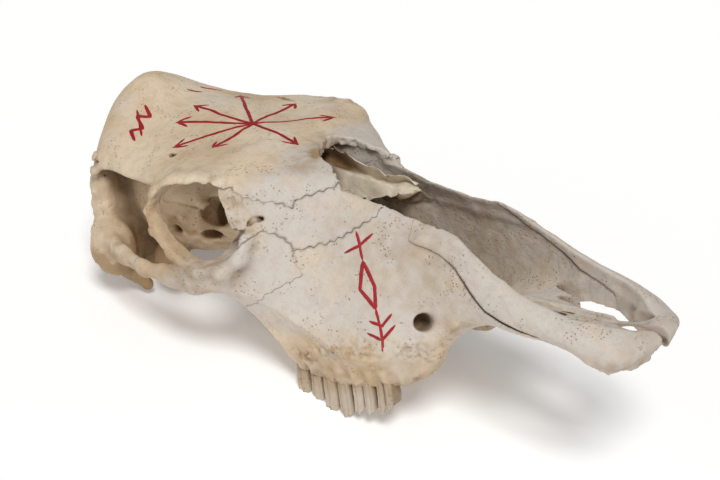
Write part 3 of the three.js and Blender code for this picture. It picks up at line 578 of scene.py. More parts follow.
# Each region is a side view [x, z] and a range across [y], in the order in which the bones are taken
regions = []
for bone in OUTLINES:
    view = outline_distance(AXES[0][:, None], AXES[2][None, :], OUTLINES[bone]).astype(np.float32)
    if bone in HALF_WIDTHS:
        regions.append((bone, view, np.abs(AXES[1]) - HALF_WIDTHS[bone]))
        continue
    kind, _, one_side = bone.partition("_")
    for name, side in (("right", -1), ("left", 1)):
        if one_side in ("", name):
            across = np.maximum(INNER[kind] - side * AXES[1], side * AXES[1] - OUTER)
            regions.append((f"{kind}_{name}", view, across))
regions.append(("sphenoid", np.full_like(regions[0][1], -1e3), np.full(len(AXES[1]), -1e3, np.float32)))

# The crack between premaxilla and maxilla has opened as the bone dried, most in its middle
crack = 0.3 * bell(AXES[0], 110, 40) + 0.75 * bell(AXES[0], 148, 13)


def own_field(order):
    """Below zero in the bone's own part of the head."""
    wide = (SUTURE_GAP / 2 * np.where(AXES[0] < -68, CLOSED, 1))[:, None, None]
    gap = wide + (crack[:, None, None] if order < 2 else 0)
    _, view, across = regions[order]
    own = np.maximum(view[:, None], across[None, :, None]) + gap
    for _, view, across in regions[:order]:
        own = np.maximum(own, np.minimum(-view[:, None], -across[None, :, None]) + wide)
    return own.astype(np.float32)


# Surface nets. A cell of the grid that the surface crosses gets a vertex for each sheet of surface in it
OFFSETS = [(0, 0, 0), (1, 0, 0), (0, 1, 0), (1, 1, 0), (0, 0, 1), (1, 0, 1), (0, 1, 1), (1, 1, 1)]
EDGES = [(a, a | bit) for bit in (1, 2, 4) for a in range(8) if not a & bit]


def sheets_of(case):
    """Number of the sheet that each of the 12 edges belongs to, for one pattern of corners inside."""
    crossed = [n for n, (a, b) in enumerate(EDGES) if (case >> a & 1) != (case >> b & 1)]
    sheet = {n: n for n in crossed}

    def root(n):
        while sheet[n] != n:
            n = sheet[n]
        return n

    for axis in (1, 2, 4):
        for level in (0, axis):
            corners = [c for c in range(8) if c & axis == level]
            on_face = [n for n in crossed if EDGES[n][0] in corners and EDGES[n][1] in corners]
            if len(on_face) == 2:
                sheet[root(on_face[0])] = root(on_face[1])
            elif len(on_face) == 4:
                for c in corners:
                    if case >> c & 1:
                        pair = [n for n in on_face if c in EDGES[n]]
                        sheet[root(pair[0])] = root(pair[1])
    roots = sorted({root(n) for n in crossed})
    return [roots.index(root(n)) if n in sheet else 0 for n in range(12)], len(roots)


SHEETS = [sheets_of(case) for case in range(256)]
SHEET_OF_EDGE = np.array([s[0] for s in SHEETS])
SHEET_COUNT = np.array([s[1] for s in SHEETS])
PARALLEL = 0.08  # squared sine of the angle below which two surfaces count as parallel


def surface_net(first, second):
    """Vertices, in cells from the grid's corner, and quads of the surface where max(first, second) is 0."""
    field = np.maximum(first, second)
    inside = field < 0
    shape = np.array(field.shape) - 1
    case = np.zeros(shape, np.uint8)
    for n, (i, j, k) in enumerate(OFFSETS):
        case |= inside[i:shape[0] + i, j:shape[1] + j, k:shape[2] + k].astype(np.uint8) << n
    cells = np.flatnonzero((case.ravel() > 0) & (case.ravel() < 255))
    cases = case.ravel()[cells]
    base = np.full(case.size, -1, np.int64)
    starts = np.concatenate([[0], np.cumsum(SHEET_COUNT[cases])])
    base[cells] = starts[:-1]
    place = np.stack(np.unravel_index(cells, case.shape), -1)
    corners = [tuple((place + o).T) for o in OFFSETS]
    value, values_a, values_b = ([grid[c] for c in corners] for grid in (field, first, second))
    total = np.zeros((starts[-1], 3))
    count = np.zeros(starts[-1])
    kinds = np.zeros((starts[-1], 2), bool)
    for n, (a, b) in enumerate(EDGES):
        hit = np.flatnonzero((value[a] < 0) != (value[b] < 0))
        t = value[a][hit] / (value[a][hit] - value[b][hit])
        spot = np.array(OFFSETS[a]) + t[:, None] * (np.array(OFFSETS[b]) - OFFSETS[a]) + place[hit]
        vertex = starts[hit] + SHEET_OF_EDGE[cases[hit], n]
        np.add.at(total, vertex, spot)
        np.add.at(count, vertex, 1)
        on_a = mix(values_a[a][hit], values_a[b][hit], t) > mix(values_b[a][hit], values_b[b][hit], t)
        kinds[vertex[on_a], 0] = True
        kinds[vertex[~on_a], 1] = True
    vertices = total / count[:, None]
    # Where both fields bound the bone, the vertex moves onto the line in which their surfaces meet
    crease = np.flatnonzero(kinds.all(1))
    cell = np.searchsorted(starts, crease, side="right") - 1
    local = vertices[crease] - place[cell]
    rows = []
    for values in (values_a, values_b):
        v = np.stack([values[n][cell] for n in range(8)], -1)
        slope = np.stack([
            sum(v[:, b] - v[:, a] for a, b in EDGES[4 * axis:4 * axis + 4]) / 4 for axis in range(3)
        ], -1)
        rows.append((v.mean(1) + (slope * (local - 0.5)).sum(1), slope))
    (ra, ga), (rb, gb) = rows
    aa, bb, ab = (ga * ga).sum(1), (gb * gb).sum(1), (ga * gb).sum(1)
    det = aa * bb - ab * ab
    good = det > PARALLEL * aa * bb
    det = np.where(good, det, 1)
    la, lb = (ra * bb - rb * ab) / det, (rb * aa - ra * ab) / det
    step = -(la[:, None] * ga + lb[:, None] * gb) * good[:, None]
    vertices[crease] = place[cell] + np.clip(local + step, -0.3, 1.3)
    quads = []
    for axis in range(3):
        lo = [slice(1, -1)] * 3
        hi = [slice(1, -1)] * 3
        lo[axis], hi[axis] = slice(0, -1), slice(1, None)
        a, b = inside[tuple(lo)], inside[tuple(hi)]
        where = np.stack(np.nonzero(a != b), -1)
        where += [0 if n == axis else 1 for n in range(3)]
        turned = inside[tuple(where.T)]
        u, v = [n for n in range(3) if n != axis]
        ring = []
        for du, dv in ((0, 0), (1, 0), (1, 1), (0, 1)):
            cell = where.copy()
            cell[:, u] -= du
            cell[:, v] -= dv
            index = np.ravel_multi_index(tuple(cell.T), case.shape)
            corner = (du << u) | (dv << v)
            edge = EDGES.index((corner, corner | 1 << axis))
            ring.append(base[index] + SHEET_OF_EDGE[case.ravel()[index], edge])
        ring = np.stack(ring, -1)
        flip = turned if axis != 1 else ~turned
        quads.append(np.where(flip[:, None], ring, ring[:, ::-1]))
    return vertices, np.concatenate(quads)


def largest_part(vertices, quads, least=0.02):
    """The same net without the loose bits that have less than `least` of its vertices."""
    label = np.arange(len(vertices))
    while True:
        low = label[quads].min(1)
        before = label.copy()
        for n in range(4):
            np.minimum.at(label, quads[:, n], low)
        label = label[label]
        if (label == before).all():
            break
    names, sizes = np.unique(label, return_counts=True)
    kept = np.isin(label, names[sizes >= least * len(vertices)])
    number = np.cumsum(kept) - 1
    return vertices[kept], number[quads[kept[quads[:, 0]]]]


def sample(field, points):
    """The grid's field at points in millimetres, linear between the nodes."""
    at = (points - LOW) / CELL
    cell = np.clip(np.floor(at).astype(np.int64), 0, np.array(field.shape) - 2)
    t = (at - cell).astype(np.float32)
    flat = field.ravel()
    strides = np.array([field.shape[1] * field.shape[2], field.shape[2], 1])
    start = cell @ strides
    value = np.zeros(len(points), np.float32)
    for i, j, k in OFFSETS:
        weight = (t[:, 0] if i else 1 - t[:, 0]) * (t[:, 1] if j else 1 - t[:, 1])
        value += weight * (t[:, 2] if k else 1 - t[:, 2]) * flat[start + (i, j, k) @ strides]
    return value


def normals_of(field, points, reach=0.8):
    """Directions out of the bone, from the field `reach` cells away on either side."""
    slope = np.stack([
        sample(field, points + step) - sample(field, points - step) for step in np.eye(3) * reach * CELL
    ], -1)
    return slope / np.maximum(np.linalg.norm(slope, axis=1, keepdims=True), 1e-6)


SHARP_ANGLE = math.radians(52)


def add_mesh(name, vertices, faces, material):
    """Object of a mesh in the model's frame whose faces all have equally many corners."""
    mesh = bpy.data.meshes.new(name)
    faces = np.asarray(faces)
    mesh.vertices.add(len(vertices))
    mesh.vertices.foreach_set("co", np.asarray(vertices, np.float32).ravel())
    mesh.loops.add(faces.size)
    mesh.loops.foreach_set("vertex_index", faces.astype(np.int32).ravel())
    mesh.polygons.add(len(faces))
    mesh.polygons.foreach_set("loop_start", np.arange(0, faces.size, faces.shape[1], dtype=np.int32))
    mesh.update(calc_edges=True)
    mesh.validate()
    mesh.polygons.foreach_set("use_smooth", np.full(len(mesh.polygons), True))
    mesh.set_sharp_from_angle(angle=SHARP_ANGLE)
    mesh.materials.append(material)
    return add_object(name, mesh)


def set_attributes(piece, **attributes):
    """Attributes of a piece's points; a single value counts for all of them."""
    for name, values in attributes.items():
        attribute = piece.data.attributes.new(name, "FLOAT", "POINT")
        attribute.data.foreach_set("value", np.full(len(piece.data.vertices), values, np.float32))


# Bone: cream with warm stains and paler, dry patches, brown along the sutures, with pores and a fine grain;
# the hollows get painted brown shade. Made of noise on the object's own coordinates and of attributes:
# hollow, seam, stain and pale
def add_node(tree, kind, **values):
    """Node of a kind; a value for a socket is set or, where it is another node's output, linked."""
    node = tree.nodes.new(kind)
    for name, value in values.items():
        if hasattr(node, name):
            setattr(node, name, value)
            continue
        number = name.removeprefix("i")
        socket = node.inputs[int(number)] if number.isdigit() else node.inputs[name.replace("_", " ")]
        if isinstance(value, bpy.types.NodeSocket):
            tree.links.new(value, socket)
        else:
            socket.default_value = value
    return node


def add_noise(tree, place, scale, detail=4.0, roughness=0.55):
    values = dict(Vector=place, Scale=scale, Detail=detail, Roughness=roughness)
    return add_node(tree, "ShaderNodeTexNoise", **values).outputs["Fac"]


def add_ramp(tree, value, low, high):
    """0 up to low, 1 from high on."""
    ramp = add_node(tree, "ShaderNodeMapRange", Value=value, From_Min=low, From_Max=high)
    ramp.interpolation_type = "SMOOTHSTEP"
    return ramp.outputs["Result"]


def add_mix(tree, factor, first, second):
    return add_node(tree, "ShaderNodeMix", data_type="RGBA", i0=factor, i6=first, i7=second).outputs[2]


def add_math(tree, operation, first, second=0.0):
    return add_node(tree, "ShaderNodeMath", operation=operation, i0=first, i1=second).outputs[0]


def add_bone_material(name, light, warm, grain=1.0):
    material, shader = add_material(name)
    tree = material.node_tree
    place = tree.nodes.new("ShaderNodeTexCoord").outputs["Object"]
    hollow, seam, stain, pale = (
        add_node(tree, "ShaderNodeAttribute", attribute_name=attribute).outputs["Fac"]
        for attribute in ("hollow", "seam", "stain", "pale")
    )
    patches, blotches, dry, smears, pitted, speckle, smooth = (
        add_ramp(tree, add_noise(tree, place, scale, detail, roughness), low, high)
        for scale, detail, roughness, low, high in (
            (14, 5, 0.55, 0.35, 0.7), (45, 6, 0.65, 0.5, 0.75), (22, 4, 0.55, 0.5, 0.7),
            (30, 8, 0.7, 0.48, 0.72), (60, 3, 0.55, 0.48, 0.62), (900, 4, 0.7, 0.52, 0.7),
            (160, 6, 0.6, 0.40, 0.52),
        )
    )
    # Painted shade: the hollow attribute, with a touch of the blotches, says how brown the recesses are painted
    edge = add_math(tree, "ADD", hollow, add_math(tree, "MULTIPLY", blotches, 0.15))
    cells = add_node(tree, "ShaderNodeTexVoronoi", Vector=place, Scale=420.0).outputs["Distance"]
    solid = add_ramp(tree, cells, 0.12, 0.3)
    crevice, hole = (add_math(tree, "SUBTRACT", 1.0, mask) for mask in (smooth, solid))
    pore = add_math(tree, "MULTIPLY", hole, pitted)
    color = add_mix(tree, patches, light, warm)
    # Among these layers the ramp of the hollow attribute is painted shade, and the stain attribute carries brown
    # stains together with painted shade
    for mask, strength, tint in (
        (pale, 1, (0.61, 0.555, 0.50)), (blotches, 0.26, (0.52, 0.40, 0.25)), (dry, 0.35, (0.72, 0.66, 0.59)),
        (smears, 0.22, (0.50, 0.36, 0.22)), (stain, 1, (0.34, 0.215, 0.10)),
        (add_ramp(tree, edge, 0.14, 0.95), 1, (0.17, 0.095, 0.04)), (pore, 0.6, (0.16, 0.09, 0.045)),
        (speckle, 0.28, (0.40, 0.29, 0.18)), (crevice, 0.16, (0.42, 0.30, 0.18)),
        (seam, 1, (0.10, 0.055, 0.03)),
    ):
        color = add_mix(tree, add_math(tree, "MULTIPLY", mask, strength), color, (*tint, 1))
    tree.links.new(color, shader.inputs["Base Color"])
    rough = add_node(tree, "ShaderNodeMapRange", Value=patches, To_Min=0.55, To_Max=0.72).outputs["Result"]
    tree.links.new(rough, shader.inputs["Roughness"])
    shader.inputs["Specular IOR Level"].default_value = 0.35
    coarse = add_math(tree, "MULTIPLY", add_noise(tree, place, 160, 6, 0.6), grain)
    fine = add_math(tree, "MULTIPLY", add_noise(tree, place, 700, 3), 0.3 * grain)
    grainy = add_math(tree, "ADD", coarse, fine)
    height = add_math(tree, "SUBTRACT", grainy, add_math(tree, "MULTIPLY", pore, 0.5))
    bump = add_node(tree, "ShaderNodeBump", Strength=0.8, Distance=0.0012, Height=height)
    tree.links.new(bump.outputs["Normal"], shader.inputs["Normal"])
    return material


bone_material = add_bone_material("bone", (0.76, 0.63, 0.47, 1), (0.60, 0.44, 0.28, 1))


# Relief that is too fine for the solids, on the nodes near the surface: the broken edge of the roof over the
# nose, the holes for nerves and vessels, and the rough places where muscles held
NOTCH = [
    (-19, -12), (-8, -18), (1, -22), (6, -27), (15, -31), (40, -33), (40, 33), (15, 31), (0, 25.5), (-15, 26),
    (-21, 23), (-29, 20), (-28, 7), (-24, -2),
]
FISSURE = [
    (140, 27), (148, 30), (163, 33), (184, 30.5), (201, 24), (206, 20), (201, 18), (184, 17.5), (166, 20),
    (148, 24),
]
MIDDLE_SLOT = [
    (199, 3), (206, 4.5), (214, 4.5), (224, 2), (231, -2), (230, -4.5), (216, -3.5), (206, -1),
]
TUBER = [(-14, 22), (6, 31), (26, 34), (45, 35), (62, 34), (79, 31), (88, 26)]
CRACKS = [
    [
        (-143, -58, 132, 0.7), (-137, -57, 128, 0.7), (-129, -56, 128, 0.7), (-121, -53, 125, 0.7),
        (-114, -50, 122, 1),
    ],
    [(-190, -69, 150, 0.7), (-176, -62, 152, 0.7), (-160, -60, 148, 0.7)],
]
CONCHA_RIDGE = [(48, 34, 108, 1.6), (79, 35, 103, 2.2), (121, 37, 92, 1.4)]

# Details that are cut out or added in turn: the blend, and a rod of (x, w, z, radius) or an ellipsoid's
# centre and radii. The first table's are on both sides, the sockets of two lost teeth on the left one
CUT, ADDED = -1, 1
DETAILS = [
    # Holes for nerves and vessels: over the eye, before it, and the canal that opens on the cheek
    (CUT, 1, (-121, 62, 173, 1.7), (-117, 58, 160, 1.7)),
    (CUT, 1, (-113, 62, 174, 3.0), (-117, 60, 160, 2.6)),
    (CUT, 2, (-108, 61, 171), (9, 3.2, 2.4)),
    (CUT, 0.8, (-36, 79, 124, 1.3), (-31, 77, 128.5, 2.2), (-26.5, 74, 127.5, 2.0), (-23.5, 71, 124.5, 1.1)),
    (CUT, 0.8, (-31, 80, 128, 1.6), (-29, 62, 124, 1.6)),
    (CUT, 2.5, (96, 60, 55, 6.6), (74, 45, 48, 6.0)), (CUT, 4, (93, 53, 50), (8, 5, 6)),
    # Empty sockets of the two front premolars
    (CUT, 1, (71, 55, 1), (5.5, 6, 10)), (CUT, 1, (84, 51, 10), (4.5, 5, 9)),
    # In the orbit: the hole for the nerve of the eye, two larger ones below, and the strut between them
    (CUT, 4, (-139, 57, 104, 4.2), (-140, 42, 104, 2.4)),
    (ADDED, 4, (-113, 46, 128, 3.2), (-76, 56, 98, 7.5)),
    (CUT, 2, (-104, 30, 112), (6, 13, 9)), (CUT, 2, (-116, 38, 97), (8, 11, 5)),
    # Corner of the frontal bone behind: two knobs with a cleft between them
    (ADDED, 3, (-190, 74, 168), (6, 5, 4)), (ADDED, 3, (-188, 76, 157), (5, 4, 3.5)),
    (CUT, 1, (-200, 78, 163, 2.4), (-182, 70, 162, 1.6)),
]
LEFT_SOCKETS = [(CUT, 1.5, (28, 57.5, 1), (8, 7.5, 9)), (CUT, 1.5, (46, 57, 1), (5.5, 6.5, 9))]


def with_details(d, x, w, z, details):
    for kind, blend, *form in details:
        part = ellipsoid(x, w, z, *form) if len(form[0]) == 3 else chain(x, w, z, form, 1.0, 2)
        d = cut(d, part, blend) if kind == CUT else smooth_min(d, part, blend)
    return d


def near_to(x, y, z, centre, reach):
    """1 at a place, falling to 0 over `reach` millimetres round it."""
    return np.exp(-((x - centre[0]) ** 2 + (y - centre[1]) ** 2 + (z - centre[2]) ** 2) / reach ** 2)


def roughness(x, y, z, *layers):
    """Sum of noises, (strength, size) each."""
    return sum(strength * noise(x, y, z, size) for strength, size in layers)


def tuber_at(x, w, z, width):
    """1 on the band of the facial tuber."""
    return bell(z, polyline(TUBER, x), width) * (w > 45) * (x > -20)


def relief(x, y, z, d):
    w = np.abs(y)
    # Notch of the roof over the nasal cavity, broken and spongy at its tip
    notch = outline_distance(x, y, NOTCH) + roughness(x, y, z, (1.2, 3.5), (0.8, 1.8))
    d = cut(d, np.maximum(notch, 143 - 0.2 * (x + 27) - z), 1.0)
    tips = (((-19, -13, 154), 8), ((-26, 2, 156), 6), ((-28, 14, 156), 5))
    spongy = sum(near_to(x, y, z, centre, reach) for centre, reach in tips)
    d = d + 3.0 * spongy * np.clip(noise(x, y, z, 2.4) + 0.15, 0, 1)
    d = with_details(d, x, w, z, DETAILS)
    # Ridge of the concha on the inner wall of the nose
    d = smooth_min(d, chain(x, w, z, CONCHA_RIDGE), 5)
    d = with_details(d, x, y, z, LEFT_SOCKETS)
    # Gaps in the floor of the nose, beside and between the palatine processes, and the groove along them
    d = cut(d, np.maximum(outline_distance(x, w, FISSURE), z - 60), 1.2)
    d = cut(d, np.maximum(outline_distance(x, y, MIDDLE_SLOT), z - 60), 1.2)
    d = cut(d, ellipsoid(x, w, z, (214, 0, 28), (24, 17, 9.5)), 2)
    d = smooth_min(d, bar(x, w, z, (118, 5.4, 51.5, 1.5), (196, 6.3, 41.5, 1.5)), 2.5)
    # Cleft between the tips of the two premaxillae
    d = cut(d, np.maximum(np.abs(y - 0.4) - 0.5 - 0.13 * np.maximum(x - 208, 0), 206 - x), 1.5)
    for crack_line in CRACKS:
        d = cut(d, chain(x, y, z, crack_line, 1.0, 0.5), 0.5)
    # Rough band of the facial tuber, the ragged margin before the teeth, and swellings over their roots
    band = tuber_at(x, w, z, 7) * bell(np.maximum(x, 86), 86, 8)
    d = d - band * (1.0 + roughness(x, y, z, (1.9, 4.2), (1.3, 2.0)))
    margin = (x > -40) * (x < 104) * bell(z - edge_z(x), 3, 6) * (w > 42)
    d = d + margin * (roughness(x, y, z, (0.7, 3.0), (0.5, 1.9)) - 0.2)
    roots = bell(z, 11, 9) * (w > 50) * (x > -34) * (x < 62)
    d = d - roots * 0.9 * np.cos(x * 2 * np.pi / 12.5)
    # Rough places: tip of the nose, nape, edge of the orbit, lacrimal bone
    d = d + rise(x, 192, 206) * rise(z, 36, 28) * roughness(x, y, z, (0.9, 3.4), (0.5, 1.9))
    d = d + rise(x, -188, -196) * rise(z, 168, 158) * roughness(x, y, z, (0.9, 6.0), (0.5, 2.4))
    eye_edge = bell(np.hypot(x - EYE[0], z - EYE[1]), 33, 6) * (w > 72)
    lacrimal = near_to(x, w, z, (-42, 79, 138), 20)
    d = d + (eye_edge * 0.9 + lacrimal * 1.4) * np.clip(np.abs(noise(x, y, z, 2.1)) - 0.25, 0, 1)
    return d + roughness(x, y, z, (0.30, 9), (0.14, 3.6))


SKIN = (-12, 4)  # depth in the bone and height over it
near = np.nonzero((skull_field > SKIN[0]) & (skull_field < SKIN[1]))
near_points = [axis[index] for axis, index in zip(AXES, near)]
skull_field[near] = in_chunks(relief, *near_points, skull_field[near])

# What would reach past the solids' box is worn flat there, such as the joint with the neck on the floor
BOX_MARGIN = 0.15
for axis in range(3):
    for corner, side in zip(cad_box, (-1, 1)):
        limit = side * (corner[axis] * MM + SHIFT[axis]) - BOX_MARGIN
        row = PITCHED[axis] * side
        past = row[0] * AXES[0][:, None, None] + row[1] * AXES[1][None, :, None] + row[2] * AXES[2] - limit
        np.maximum(skull_field, past.astype(np.float32), out=skull_field)

# Bones of the skull: each is the skull inside its own region, meshed with a crisp edge along its sutures.
# Bone material. Its attributes say how far a place lies in a recess, for painted shade (hollow, felt for along
# the directions SPREAD at the distances REACHES), how near it is to a suture (seam), how stained it is, with
# painted shade in its holes and under the head, and how bleached (pale)
SEAM_WIDTH = 0.9
REACHES = (4, 9, 18, 34)
SPREAD = [(0, 0, 1), *((math.cos(a) * 0.8, math.sin(a) * 0.8, 0.6) for a in np.arange(5) * math.tau / 5)]
# Brown stains [strength, place, reach], in the second table on both sides. The second table's lie mostly in
# the orbits, the nose, the holes and under the back of the head, and paint shade there as well as stain
STAINS = [
    (0.55, (-17, -33, 154), 9), (0.8, (-20, -12, 155), 10), (0.5, (-27, 8, 156), 12),
    (0.35, (-190, -75, 150), 30),
]
PAIRED_STAINS_AND_SHADE = [
    (0.75, (-185, 60, 62), 30), (0.6, (-112, 34, 112), 24), (0.9, (-138, 52, 106), 9),
    (0.35, (-160, 70, 84), 26), (0.35, (85, 33, 85), 30), (0.3, (30, 28, 90), 36),
    (0.45, (-75, 100, 94), 24), (0.6, (-176, 66, 70), 22), (0.5, (104, 50, 42), 16),
]
TOP = LOW + CELL * (np.array(skull_field.shape) - 1.01)


# Its value sets how much painted shade the recesses get
def hollow_at(points, normals):
    """How much bone stands round points on the surface, 0 in the open to 1 in a deep hole."""
    helper = np.where(np.abs(normals[:, 2:]) < 0.9, (0.0, 0.0, 1.0), (1.0, 0.0, 0.0))
    u = np.cross(normals, helper)
    u /= np.linalg.norm(u, axis=1, keepdims=True)
    v = np.cross(normals, u)
    total = np.zeros(len(points))
    for a, b, c in SPREAD:
        direction = a * u + b * v + c * normals
        for reach in REACHES:
            depth = sample(skull_field, np.clip(points + direction * reach, LOW, TOP))
            total += np.clip(1 - depth / (reach * max(c, 0.6)), 0, 1)
    return total / (len(SPREAD) * len(REACHES))


def stain_at(points):
    """Strength of the brown stains and of painted shade, by places in the head's frame."""
    x, y, z = points.T
    w = np.abs(y)
    total = sum(strength * near_to(x, y, z, place, reach) for strength, place, reach in STAINS)
    total += sum(strength * near_to(x, w, z, place, reach) for strength, place, reach in PAIRED_STAINS_AND_SHADE)
    # Darker towards the bottom of the face and under the muzzle: painted shade, with some dirt
    total += 0.4 * rise(z, 36, 10) * (np.abs(x - 25) < 80) + 0.35 * rise(z, 46, 24) * (x > 150)
    brow = bell(np.hypot(x - EYE[0], z - EYE[1]), 36, 9) * rise(w, 66, 78)
    total += 0.4 * brow * np.clip(0.5 + noise(x, y, z, 7), 0, 1) * (z > 120)
    # Painted shade low at the back of the head, round the ear, and lower down behind the orbits
    total += 0.9 * rise(z, 104, 80) * rise(x, -140, -160) + 0.35 * rise(z, 130, 90) * rise(x, -100, -120)
    total += 0.5 * tuber_at(x, w, z, 8) * (x < 92) * np.clip(0.3 + 1.5 * noise(x, y, z, 3), 0, 1)
    return np.clip(total * (1 + 0.8 * noise(x, y, z, 5)), 0, 0.9)


def seam_shown(points, facing):
    """How dark the line along a suture is: it shows round the lacrimal bone and at the cracks of the nose."""
    x, y, z = points.T
    outward = facing[:, 1] * np.sign(y) > -0.1
    cheek = (x > -66) & (x < 60) & (np.abs(y) > 30) & outward
    faint = np.where((z < 100) & (x < 0), 0.1, 0.5)
    broken = np.clip(0.7 + 1.2 * noise(x, y, z, 6), 0.15, 1)
    nose = rise(z, 108, 102) * (z > 46) * np.where(y < 0, np.maximum(rise(x, 88, 118), 0.3), 0.6)
    return np.where(cheek, faint * broken, 0) + (x > 68) * nose


def pale_at(points):
    """Whiteness: the bones before the orbit have bleached, the forehead and what lies behind are warm."""
    x, y, z = points.T
    before = rise(x + 0.9 * (150 - z), -50, -24) * np.maximum(rise(z + 0.2 * x, 30, 60), 0.15)
    mottled = roughness(x, y, z, (0.45, 16), (0.25, 6))
    return np.clip(before + mottled * np.where(before > 0.05, 1, 0.35), 0, 1)


for order, (name, _, _) in enumerate(regions):
    own = own_field(order)
    use = (own < 2 * CELL) & (skull_field < 2 * CELL)
    box = []
    for n in range(3):
        used = np.flatnonzero(use.any(tuple(m for m in range(3) if m != n)))
        box.append((max(used[0] - 1, 0), min(used[-1] + 2, len(AXES[n]))))
    part = tuple(slice(*span) for span in box)
    vertices, quads = largest_part(*surface_net(skull_field[part], own[part]))
    points = LOW + (vertices + [span[0] for span in box]) * CELL
    piece = add_mesh(f"{name}_bone", to_row(points), quads, bone_material)
    facing = normals_of(skull_field, points)
    set_attributes(
        piece, hollow=hollow_at(points, facing), stain=stain_at(points), pale=pale_at(points),
        seam=rise(sample(own, points), -SEAM_WIDTH, 0) * seam_shown(points, facing),
    )
    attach(piece, "root")
    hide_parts(name)


# Cheek teeth: three molars and the last premolar on the right, the last two molars on the left, [back, front,
# middle, width, height of the worn face behind and before]. Each is a crown with ribs to the cheek, two lobes
# to the tongue and crescent-shaped basins in its worn face. Enamel, stained towards the sockets, with painted
# shade in the folds and at the ends where the teeth meet; lofted rings
TEETH = [
    (-34, -9, 56.5, 19, -7, -14), (-8, 17.5, 58, 21, -19, -21), (18.5, 38, 57.5, 20, -17, -16),
    (39, 53, 57, 16, -16, -12),
]
LEFT_TEETH = [TEETH[0], (-8, 17.5, 58, 21, -19, -12)]
CROWN = [
    (-1, 0.5), (-0.95, 0.84), (-0.82, 0.93), (-0.7, 0.84), (-0.5, 0.97), (-0.3, 0.86), (-0.14, 0.8),
    (-0.04, 0.5), (0.04, 0.5), (0.14, 0.82), (0.3, 0.86), (0.5, 1.0), (0.7, 0.86), (0.86, 0.9), (0.97, 0.7),
    (0.99, -0.3), (0.86, -0.82), (0.52, -1), (0.2, -0.84), (0.06, -0.5), (0.0, -0.56), (-0.06, -0.5),
    (-0.2, -0.84), (-0.52, -1), (-0.86, -0.82), (-0.99, -0.3),
]
RING = 104
PAIRS = RING // 2 - 1
SOCKET_HEIGHT = 12.0
LOBES = (-0.5, 0.5)


def catmull_rom(a, b, c, d, f):
    """A smooth curve through four points in turn, at the share f of the way from the second to the third."""
    return b + 0.5 * f * (c - a + f * (2 * a - 5 * b + 4 * c - d + f * (3 * (b - c) + d - a)))


def rounded(points, count):
    """A closed smooth curve through the points, resampled at `count` places."""
    points = np.array(points, float)
    t = np.arange(count) * len(points) / count
    i = t.astype(int)
    return catmull_rom(*(points[(i + n) % len(points)] for n in (-1, 0, 1, 2)), (t - i)[:, None])


def worn_face(u, v, behind, before):
    """Height of the worn face, lower to the cheek, with cusps at its edge and a basin in either lobe."""
    from_middle = (np.hypot((u - lobe) / 0.30, (v - 0.5) / 0.8) for lobe in LOBES)
    basin = sum(bell(distance, 0.75, 0.16) for distance in from_middle)
    cusps = -1.9 * np.cos(2 * np.pi * u) * np.clip(v + 0.3, 0, 1)
    rim = bell(np.maximum(np.abs(u), np.abs(v)), 0.93, 0.1)
    return mix(behind, before, (u + 1) / 2) - 2.2 * v + 1.4 - (-1.5 * basin + cusps + 0.9 * rim)


enamel_material = add_bone_material("enamel", (0.50, 0.43, 0.345, 1), (0.40, 0.31, 0.21, 1), grain=0.6)
enamel_material.node_tree.nodes["Principled BSDF"].inputs["Specular IOR Level"].default_value = 0.5
section = rounded(CROWN, RING)
for side_name, side in (("right", -1), ("left", 1)):
    vertices, quads, hollows, stains = [], [], [], []
    for number, (back, front, across, width, *heights) in enumerate(TEETH if side < 0 else LEFT_TEETH):
        middle, reach = (back + front) / 2, (front - back) / 2 - 0.5
        rings = []
        for level in np.linspace(0, 1, 22):
            scale = mix(0.88, 1.0, level ** 0.5)
            wave = 1 + 0.02 * np.sin(9 * level + section[:, 0] * 4 + number)
            u, v = section[:, 0] * min(scale, 0.985), section[:, 1] * scale * wave
            height = mix(SOCKET_HEIGHT, worn_face(u, v, *heights), level)
            out = across + 1.6 * level ** 2
            rings.append(np.stack([middle + u * reach, out + v * width / 2, height], -1))
        for inset in np.linspace(0.93, 0.04, 13):
            u, v = (section * inset).T
            height = worn_face(u, v, *heights)
            rings.append(np.stack([middle + u * reach, out + v * width / 2, height], -1))
        rings = np.array(rings)
        rings[..., 1] += noise(*np.moveaxis(rings, -1, 0), 2.2) * 0.25
        floor_height = (SHIFT[2] + 0.1 - PITCHED[2, 0] * rings[..., 0]) / PITCHED[2, 2]
        rings[..., 2] = np.maximum(rings[..., 2], floor_height)
        rings[..., 1] *= side
        index = np.arange(len(rings) * RING).reshape(-1, RING) + sum(len(v) for v in vertices)
        vertices.append(rings.reshape(-1, 3))
        after = np.roll(index, -1, 1)
        faces = np.stack([index[:-1], after[:-1], after[1:], index[1:]], -1).reshape(-1, 4)
        quads.append(faces if side > 0 else faces[:, ::-1])
        for end in (0, -1):
            ring, backward = index[end], index[end][::-1]
            cap = np.stack([ring[:PAIRS], ring[1:PAIRS + 1], backward[1:PAIRS + 1], backward[:PAIRS]], -1)
            quads.append(cap if (end == 0) == (side < 0) else cap[:, ::-1])
        # Painted shade in the folds between the lobes and at the tooth's ends, up its whole height
        hollows.append(np.tile(0.55 * np.clip((0.88 - np.abs(section[:, 1])) * 2.6, 0, 1), len(rings)))
        stains.append(np.clip(0.5 + rings[..., 2].ravel() / SOCKET_HEIGHT, 0, 0.5) * 0.9)
    points = to_row(np.concatenate(vertices))
    teeth = add_mesh(f"teeth_{side_name}", points, np.concatenate(quads), enamel_material)
    set_attributes(teeth, hollow=np.concatenate(hollows), stain=np.concatenate(stains), seam=0, pale=0.15)
    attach(teeth, "root")
    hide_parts(f"maxilla_{side_name}")


